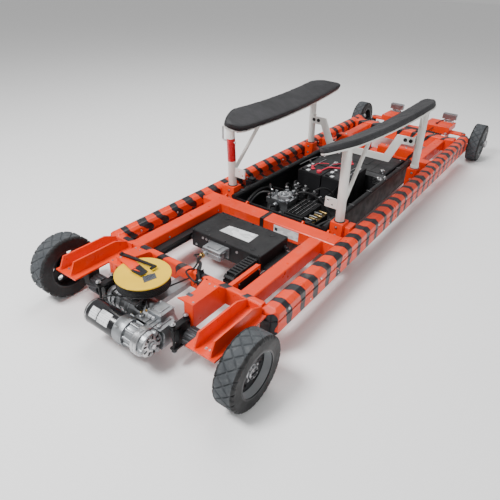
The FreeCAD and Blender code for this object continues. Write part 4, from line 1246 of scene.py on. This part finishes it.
def left_side_hoses():
    """The bundle beside the left wall of the tray."""
    side_hoses = Shape()
    for dy, dz in ((0, 0), (16, 10), (-4, 22)):
        side_hoses.tube(
            [
                (1165, 366 + dy * 0.6, 130 + dz), (1230, 372 + dy, 168 + dz), (1330, 376 + dy, 196 + dz),
                (1420, 378 + dy, 176 + dz), (1560, 380 + dy, 140 + dz), (2080, 382 + dy, 140 + dz)
            ],
            6.5
        )
    side_hoses.box(1290, 1350, 352, 408, 150, 236, 1)
    side_hoses.box(1300, 1340, 360, 400, 236, 250, 1)
    side_hoses.make("side_hoses", "cable", "chassis", ["black"])


def right_side_hoses():
    """Two hoses beside the right wall of the tray."""
    feed = Shape()
    for dz in (0, 15):
        feed.tube(
            [
                (1180, -420, 140 + dz), (1400, -424, 150 + dz), (1700, -424, 150 + dz),
                (2080, -422, 140 + dz)
            ],
            6.0
        )
    feed.box(1560, 1600, -446, -412, 140, 178, 1)
    feed.make("right_side_hoses", "cable", "chassis", ["steel"])


# ---- batteries and charger ----
def battery_tops():
    """Lids, filler caps, carrying bars and posts of the two batteries."""
    tops = Shape()
    for y0, y1 in ((8.0, 180.0), (-172.0, 0.0)):
        tops.box(1592, 1908, y0 + 8, y1 - 8, 286, BATTERY_TOP)
        for k in range(6):
            x = 1662 + 40 * k
            tops.rod((x, (y0 + y1) / 2 + 34, BATTERY_TOP), UP, 12, 3.2, 24, bevel=1)
        tops.box(1640, 1880, y0 + 26, y0 + 34, BATTERY_TOP, 291, 1)
        tops.box(1592, 1640, y1 - 46, y1 - 20, BATTERY_TOP, 300)
        tops.rod((1900, y1 - 30, BATTERY_TOP), UP, 8, 10, 20, slot=1, bevel=1)
    tops.make("battery_tops", "black_plastic", "chassis", ["steel"], edge=0.0012)


def battery_stickers():
    """Small pale stickers on the battery lids."""
    stickers = Shape()
    for y in (94, -86):
        for x0, x1, y0, y1 in (
            (1600, 1628, 16, 40), (1648, 1700, 52, 70), (1722, 1750, 50, 66), (1846, 1874, -66, -44)
        ):
            stickers.box(x0, x1, y + y0, y + y1, BATTERY_TOP, BATTERY_TOP + 0.5)
    stickers.make("battery_stickers", "label", "chassis")


def battery_lines():
    """Thin straight wires over the batteries."""
    bits = Shape()
    for (x0, y0), (x1, y1) in (
        ((1655, 211), (1871, 196)), ((1700, -112), (1880, -120)), ((1700, 120), (1864, 119))
    ):
        bits.tube([(x0, y0, 290), ((x0 + x1) / 2, (y0 + y1) / 2, 293), (x1, y1, 290)], 2.4)
    bits.make("battery_strap_lines", "steel", "chassis")


def battery_hold_down():
    """The strap that holds the batteries down."""
    hold = Shape().box(
        1742, 1758, -176, 184, 288.5, 291.5
    ).box(1742, 1758, -178, -174, 150, 291).box(1742, 1758, 182, 186, 150, 291)
    hold.rod((1750, -176, 291), UP, 6, 10, 6, slot=1).rod((1750, 184, 291), UP, 6, 10, 6, slot=1)
    hold.make("battery_hold_down", "black", "chassis", ["steel"])


def battery_caps():
    """The red terminal boots and their thin red leads."""
    caps = Shape()
    for x, y in ((1646, 103), (1905, -63)):
        caps.rod((x, y, BATTERY_TOP), UP, 15, 9, 24, bevel=4)
        caps.rod((x, y + 3, 297), (0.8, 0.5, 0.2), 8, 26, 20, bevel=3)
    caps.tube([(1668, 112, 300), (1710, 106, 306), (1750, 84, 303), (1786, 56, 296)], 2.8)
    caps.tube([(1893, -60, 300), (1860, -46, 305), (1824, -10, 302), (1796, 30, 296)], 2.8)
    caps.make("battery_caps", "red_cap", "chassis")


def battery_leads():
    """The black battery cables."""
    lead = Shape().tube(
        [(1619, -140, 300), (1600, -150, 304), (1574, -140, 270), (1560, -100, 200), (1470, -60, 160)],
        5.0
    )
    lead.tube([(1930, -40, 236), (1916, -48, 270), (1905, -58, 296)], 5.0)
    lead.make("battery_leads", "cable", "chassis")


def charger_details():
    """The louvres, the ribbed lid and the screws of the charger."""
    fins = Shape()
    for k in range(5):
        z = 186.0 + 11.0 * k
        fins.box(1926.5, 1931, -292, -226, z, z + 3.0)
    fins.make("charger_louvres", "steel", "chassis")
    shell = Shape().box(1964, 2322, -284, 234, 250, 253)
    for y in (-180, -60, 60, 180):
        shell.box(1975, 2310, y - 2, y + 2, 253, 255)
    for x in (1974, 2312):
        for y in (-272, 222):
            shell.bolt((x, y, 253), UP, 4, slot=1)
    shell.box(2060, 2200, -120, 60, 253, 256)
    shell.make("charger_lid", "black_plastic", "chassis", ["steel"], edge=0.001)


def isolator_details():
    """The isolator knob and the two terminals beside it."""
    knob = Shape().turned((1990, -262, 264.5), UP, [(0, 15.2), (2, 16.2), (6, 16.2), (8, 14.5)], 24)
    knob.make("isolator_cap", "bright", "isolator")
    knob2 = Shape().rod(
        (1906, -268, 236), UP, 13, 12, 24, bevel=4
    ).rod((1934, -304, 236), UP, 9, 20, 24, bevel=3)
    knob2.box(1896, 1944, -308, -262, 226, 236)
    knob2.make("isolator_terminals", "bright", "chassis", edge=0.001)


def tray_edge_clips():
    """Clips along the rolled edges of the tray."""
    rolled = Shape()
    for side in (-1, 1):
        for x in (1120, 1380, 1640, 1900, 2160, 2340):
            rolled.box(x, x + 16, side * 315 - 17.6, side * 315 + 17.6, 246.2, 250.0)
    rolled.make("tray_edge_clips", "black_gloss", "chassis", edge=0.001)


# ---- cradle ----
LEAN = Vector((-math.sin(math.radians(5.0)), 0.0, math.cos(math.radians(5.0))))


def on_post(post, z):
    """The point at height z on the raked line of a post."""
    x, y = post
    return Vector((x, y, SOCKET_TOP)) + LEAN * ((z - SOCKET_TOP) / LEAN.z)


POSTS = ((1105.0, 374.0), (2176.0, 420.0))


def post_tape():
    """The red reflective tape on the front left post."""
    tape = Shape()
    tape.ring(on_post(POSTS[0], 441), LEAN, [(0, 24.6), (0, 25.6), (143, 25.6), (143, 24.6)], 48)
    tape.make("post_red_tape", "red", "cradle")


def post_collars():
    """Collars at the tops of the posts and one at a foot."""
    bands = Shape()
    bands.ring(
        on_post((2176.0, -420.0), 277), LEAN, [(0, 25), (0, 28.5), (22, 28.5), (24, 27), (24, 25)], 48
    )
    for x, y in POSTS:
        for side in (-1, 1):
            top = on_post((x, side * y), 660 if x < 1500 else 690)
            bands.ring(top - LEAN * 24, LEAN, [(0, 24.5), (1.5, 26.6), (8, 26.6), (10, 24.5)], 40)
    bands.make("post_collars", "white", "cradle")


def socket_details():
    """Rubber seals and clamping bolts on the four sockets."""
    seals = Shape()
    for x, y in POSTS:
        for side in (-1, 1):
            foot = Vector((x, side * y, SOCKET_TOP + 0.2))
            seals.ring(foot, UP, [(0, 25.8), (0, 31), (2.4, 31), (3.4, 29.5), (3.4, 25.8)], 40)
    seals.make("socket_seals", "cable", "chassis")
    clamps = Shape()
    for x, y in POSTS:
        for side in (-1, 1):
            clamps.bolt((x - 38, side * y, 248), AHEAD, 6.5)
            clamps.bolt((x - 38, side * y, 200), AHEAD, 6.5)
    clamps.make("socket_bolts", "steel", "chassis")


def brace_plugs():
    """Blanking plugs in the holes of the rear cross brace."""
    knobs = Shape()
    for side in (-1, 1):
        for y in (338, 376):
            front = Vector((2126.0, side * y, SOCKET_TOP)) + LEAN * 202.0
            ahead = Vector((-LEAN.z, 0.0, LEAN.x))
            knobs.turned(
                front + ahead * 4.2, ahead, [(0, 13.2), (3, 13.2), (4.6, 11.4), (4.6, 8), (2.4, 7.4)], 32
            )
            knobs.rod(front + ahead * 4.2, -ahead, 7.8, 12, 24, bevel=2)
    knobs.make("brace_hole_plugs", "cable", "cradle")


def pad_plate_screws():
    """Screws from below through the plates into the pads."""
    plates = Shape()
    for side in (-1, 1):
        for along in (60, 330, 620, 910, 1190, 1370):
            mid = (outline_at(PAD_INNER, along) + outline_at(PAD_OUTER, along)) / 2
            down = Vector((0, side * math.sin(PAD_TILT), -math.cos(PAD_TILT)))
            for t in (mid - 45, mid + 45):
                if outline_at(PAD_INNER, along) + 14 < t < outline_at(PAD_OUTER, along) - 14:
                    plates.bolt(flip([pad_point(along, t, 42.6)], side)[0], down, 5.5)
    plates.make("pad_plate_screws", "steel", "cradle")


def cradle_small_parts():
    """Weld dots on the stub plates and the cap on the lock pin."""
    bolts(
        "stub_plate_welds", "cradle", [(1094, side * 352, z) for side in (-1, 1) for z in (350, 388)],
        AHEAD, 3.2, "white"
    )
    tip_cap = Shape().rod((1080.2, 436, 636), UP, 6.4, 6, 20, bevel=2)
    tip_cap.make("lock_pin_ends", "steel", "pin")


# ---- wheels ----
def wheel_face(end, hand, side, x):
    """The nuts, the barrel, the two flanges and the boss of one wheel."""
    out, body = (0, side, 0), "%s_wheel_%s" % (end, hand)
    y = side * (TRACK_HALF + 10.2)
    wheel = Shape()
    for place in round_places((x, y, AXLE_Z), 38, 5, "y", 18):
        wheel.bolt(place, out, 6.4, 8)
    wheel.make("%s_wheel_nuts_%s" % (end, hand), "bright", body)
    barrel = [(0, 91), (0, 97.2), (28, 98.6), (31, 97.0), (31, 95.5), (4, 93)]
    band = Shape().ring((x, side * (TRACK_HALF + 12.5), AXLE_Z), out, barrel, 72)
    band.make("%s_rim_barrel_%s" % (end, hand), "barrel", body)
    edge = Shape()
    flange = [(0, 96.0), (0, 106.5), (3.6, 107.5), (5.6, 105.5), (5.6, 97.0)]
    for s in (-1, 1):
        edge.ring((x, side * TRACK_HALF + s * 43.0, AXLE_Z), (0, s, 0), flange, 72)
    edge.make("%s_rim_flanges_%s" % (end, hand), "rim", body)
    dish = Shape().ring((x, y, AXLE_Z), out, [(0, 30), (0, 52), (2.4, 52), (6, 47), (6, 30)], 48)
    dish.make("%s_wheel_boss_%s" % (end, hand), "rim" if end == "front" else "steel", body)


def front_hub_cap(hand, side):
    """The stepped cap on the half shaft's end, with its five small bolts."""
    out = (0, side, 0)
    steps = [(0, 24), (0, 31), (9, 31), (12, 28), (20, 27), (23, 24.6), (23, 24)]
    cap = Shape().ring((0, side * (TRACK_HALF + 8), AXLE_Z), out, steps, 40)
    for place in round_places((0, side * (TRACK_HALF + 30), AXLE_Z), 19, 5, "y", 40):
        cap.bolt(place, out, 2.8)
    cap.make("front_hub_cap_" + hand, "bright", "front_wheel_" + hand)


def rear_hub_knob(hand, side):
    """The fluted grease cap on the rear hub."""
    out = (0, side, 0)
    dome = [(0, 27), (2, 28.6), (16, 28.6), (19.6, 25), (19.6, 10)]
    cap = Shape().turned((WHEELBASE, side * (TRACK_HALF + 62), AXLE_Z), out, dome, 40)
    for k in range(10):
        turn = math.radians(36 * k)
        x, z = WHEELBASE + 28.2 * math.cos(turn), AXLE_Z + 28.2 * math.sin(turn)
        cap.rod((x, side * (TRACK_HALF + 63), z), out, 2.6, 15, 10, bevel=1)
    cap.make("rear_hub_knob_" + hand, "steel", "rear_wheel_" + hand)


def steering_details(hand, side):
    """The rack's boot, the kingpin's nuts and the nut on the steering arm's eye."""
    boots = Shape()
    fold = [(0, 12.5), (3, 20), (9, 22), (15, 20), (18, 12.5)]
    for k in range(3):
        boots.turned((WHEELBASE - 160, side * (226 + 18.6 * k), 196), (0, side, 0), fold, 28)
    boots.make("rack_boot_" + hand, "cable", "chassis")
    pins = Shape().rod((WHEELBASE, side * 432, 210), UP, 15, 7, 6)
    pins.rod((WHEELBASE, side * 432, 111.8), DOWN, 15, 7, 6)
    pins.make("kingpin_nuts_" + hand, "steel", "rear_knuckle_" + hand)
    eye = [(WHEELBASE - 120, side * 432, 184)]
    bolts("steer_eye_nut_" + hand, "rear_knuckle_" + hand, eye, UP, 8.5)


def wheels():
    for hand, side in HANDS:
        wheel_face("front", hand, side, 0.0)
        front_hub_cap(hand, side)
        wheel_face("rear", hand, side, WHEELBASE)
        rear_hub_knob(hand, side)
        steering_details(hand, side)


# ---- rear deck and lamps ----
def rear_housing_bolts():
    """Bolts on the rear housings."""
    deck = Shape()
    for side in (-1, 1):
        for x, y in ((3405, 110), (3405, 304), (3560, 110), (3560, 304)):
            deck.bolt((x, side * y, 264), UP, 5.2)
    deck.make("rear_housing_bolts", "steel", "chassis")


def lamp_cables():
    """The lamp cables and their clips."""
    loom = Shape()
    for side in (-1, 1):
        loom.tube(
            [
                (3612, side * 238, 290), (3598, side * 214, 276), (3570, side * 196, 270),
                (3480, side * 190, 268), (3388, side * 180, 240), (3340, side * 120, 180)
            ],
            3.8
        )
        loom.box(3392 + 60, 3392 + 76, side * 190 - 9, side * 190 + 9, 264, 274)
    loom.make("lamp_cables", "cable", "chassis")


def rear_crossbeam_grips():
    """Black grips on the rear crossbeam."""
    slots = Shape()
    for y in (-260, -90, 80, 250):
        slots.box(3171, 3173, y - 30, y + 30, 196, 232)
    slots.box(3108, 3142, -200, -110, 255, 262).box(3108, 3142, 110, 200, 255, 262)
    slots.make("rear_crossbeam_grips", "black", "chassis", edge=0.0015)


def third_crossbeam_caps():
    """Raised caps on the third crossbeam."""
    caps = Shape()
    for near, far, top in ((40, 150, 288), (187, 318, 302)):
        for side in (-1, 1):
            y0, y1 = sorted((side * (near + 10), side * (far - 10)))
            caps.box(2434, 2486, y0, y1, top, top + 4)
            caps.bolt((2460, (y0 + y1) / 2, top + 4), UP, 7, slot=1)
    caps.make("third_crossbeam_caps", "orange", "chassis", ["steel"], edge=0.0015)


def lamp_details():
    """Lens, diodes and cooling fins, and the hinge bolts of each lamp."""
    for hand, side in HANDS:
        x, y, z = 3604.0, side * 256.0, 279.0
        light = Shape().box(x + 20, x + 25, y - 56, y + 56, z + 15, z + 54)
        for k in range(4):
            for row in range(2):
                light.rod(
                    (x + 25, y - 41 + 27.5 * k, z + 25 + 19 * row), BACK, 7.5, 1.6, 20, slot=1, bevel=0.6
                )
        for k in range(11):
            yy = y - 57 + 11.2 * k
            light.box(x - 26, x - 18, yy, yy + 3.4, z + 14, z + 56, 2)
        light.box(x - 18, x + 22, y - 60, y + 60, z + 57, z + 60, 2)
        light.make("lamp_glass_" + hand, "lens", "lamp_" + hand, ["bright", "aluminium"], edge=0.0006)
        side_bolts = Shape()
        for s in (-1, 1):
            side_bolts.bolt((x, y + s * 39.5, z), (0, s, 0), 5)
        side_bolts.make("lamp_hinge_bolts_" + hand, "steel", "chassis")


# ---- stage, light and camera ----
def area(name, place, target, size, power, colour=(1, 1, 1)):
    data = bpy.data.lights.new(name, "AREA")
    data.shape, data.size, data.energy, data.color = "DISK", size, power, colour
    lamp = bpy.data.objects.new(name, data)
    bpy.context.scene.collection.objects.link(lamp)
    lamp.location = place
    lamp.rotation_euler = (Vector(target) - Vector(place)).to_track_quat("-Z", "Y").to_euler()


def studio_floor():
    """A pale plain floor."""
    floor_mesh = bpy.data.meshes.new("floor")
    floor_mesh.from_pydata([(-30, -30, 0), (30, -30, 0), (30, 30, 0), (-30, 30, 0)], [], [(0, 1, 2, 3)])
    floor_shade = Shade("pale_floor", 0.9)
    floor_shade.colour((0.93, 0.93, 0.93))
    floor_mesh.materials.append(floor_shade.mat)
    floor = bpy.data.objects.new("floor", floor_mesh)
    bpy.context.scene.collection.objects.link(floor)


def studio_light():
    """An even white sky with a key, an overhead light and a weak fill."""
    world = bpy.data.worlds.new("studio")
    world.use_nodes = True
    world.node_tree.nodes["Background"].inputs["Color"].default_value = (1, 1, 1, 1)
    world.node_tree.nodes["Background"].inputs["Strength"].default_value = 0.50
    bpy.context.scene.world = world
    area("key", (-3.6, 1.0, 4.2), (-0.4, 0, 0.2), 1.5, 300)
    area("overhead", (1.2, 0.8, 4.6), (0.6, 0, 0.2), 3.5, 150)
    area("fill", (-1.2, -4.5, 2.4), (0, 0, 0.2), 3.0, 36)


def photo_camera():
    """The camera at the photograph's angle."""
    YAW, PITCH, ROLL = math.radians(34.959), math.radians(-31.824), math.radians(2.382)
    look = Vector((math.cos(PITCH) * math.cos(YAW), math.cos(PITCH) * math.sin(YAW), math.sin(PITCH)))
    level = look.cross(Vector((0, 0, 1))).normalized()
    upright = level.cross(look)
    right = level * math.cos(ROLL) + upright * math.sin(ROLL)
    top = upright * math.cos(ROLL) - level * math.sin(ROLL)
    lens = bpy.data.cameras.new("camera")
    lens.sensor_width, lens.lens = 36.0, 33.10056
    lens.clip_end = 100
    camera = bpy.data.objects.new("camera", lens)
    bpy.context.scene.collection.objects.link(camera)
    turn = Matrix((right, top, -look)).transposed().to_4x4()
    camera.matrix_world = Matrix.Translation((-2.75535, -1.2652, 1.4587)) @ turn
    bpy.context.scene.camera = camera


# ---- the pieces, in order, and then the studio ----
for build in (
    tyres, pads, reel_winding, reel_drum_details, striped_arm_details, latch_details, guard_wires,
    drive_motor_details, gear_head_bell, gear_head_face, axle_housing_lid, axle_housing_ribs,
    motor_wiring, axle_clamp_bolts, arm_screws, weld_beads, rail_bolts, beam_screw_heads,
    crossbeam_marks, carriage_details, connector_details, control_cable, cable_loops, cable_clips,
    chain_links, guide_details, pump_manifold, valve_block, pump_motor_details, relay_bank,
    hydraulic_hoses, hose_fittings, left_side_hoses, right_side_hoses, battery_tops, battery_stickers,
    battery_lines, battery_hold_down, battery_caps, battery_leads, charger_details, isolator_details,
    tray_edge_clips, post_tape, post_collars, socket_details, brace_plugs, pad_plate_screws,
    cradle_small_parts, wheels, rear_housing_bolts, lamp_cables, rear_crossbeam_grips,
    third_crossbeam_caps, lamp_details, studio_floor, studio_light, photo_camera,
):
    build()
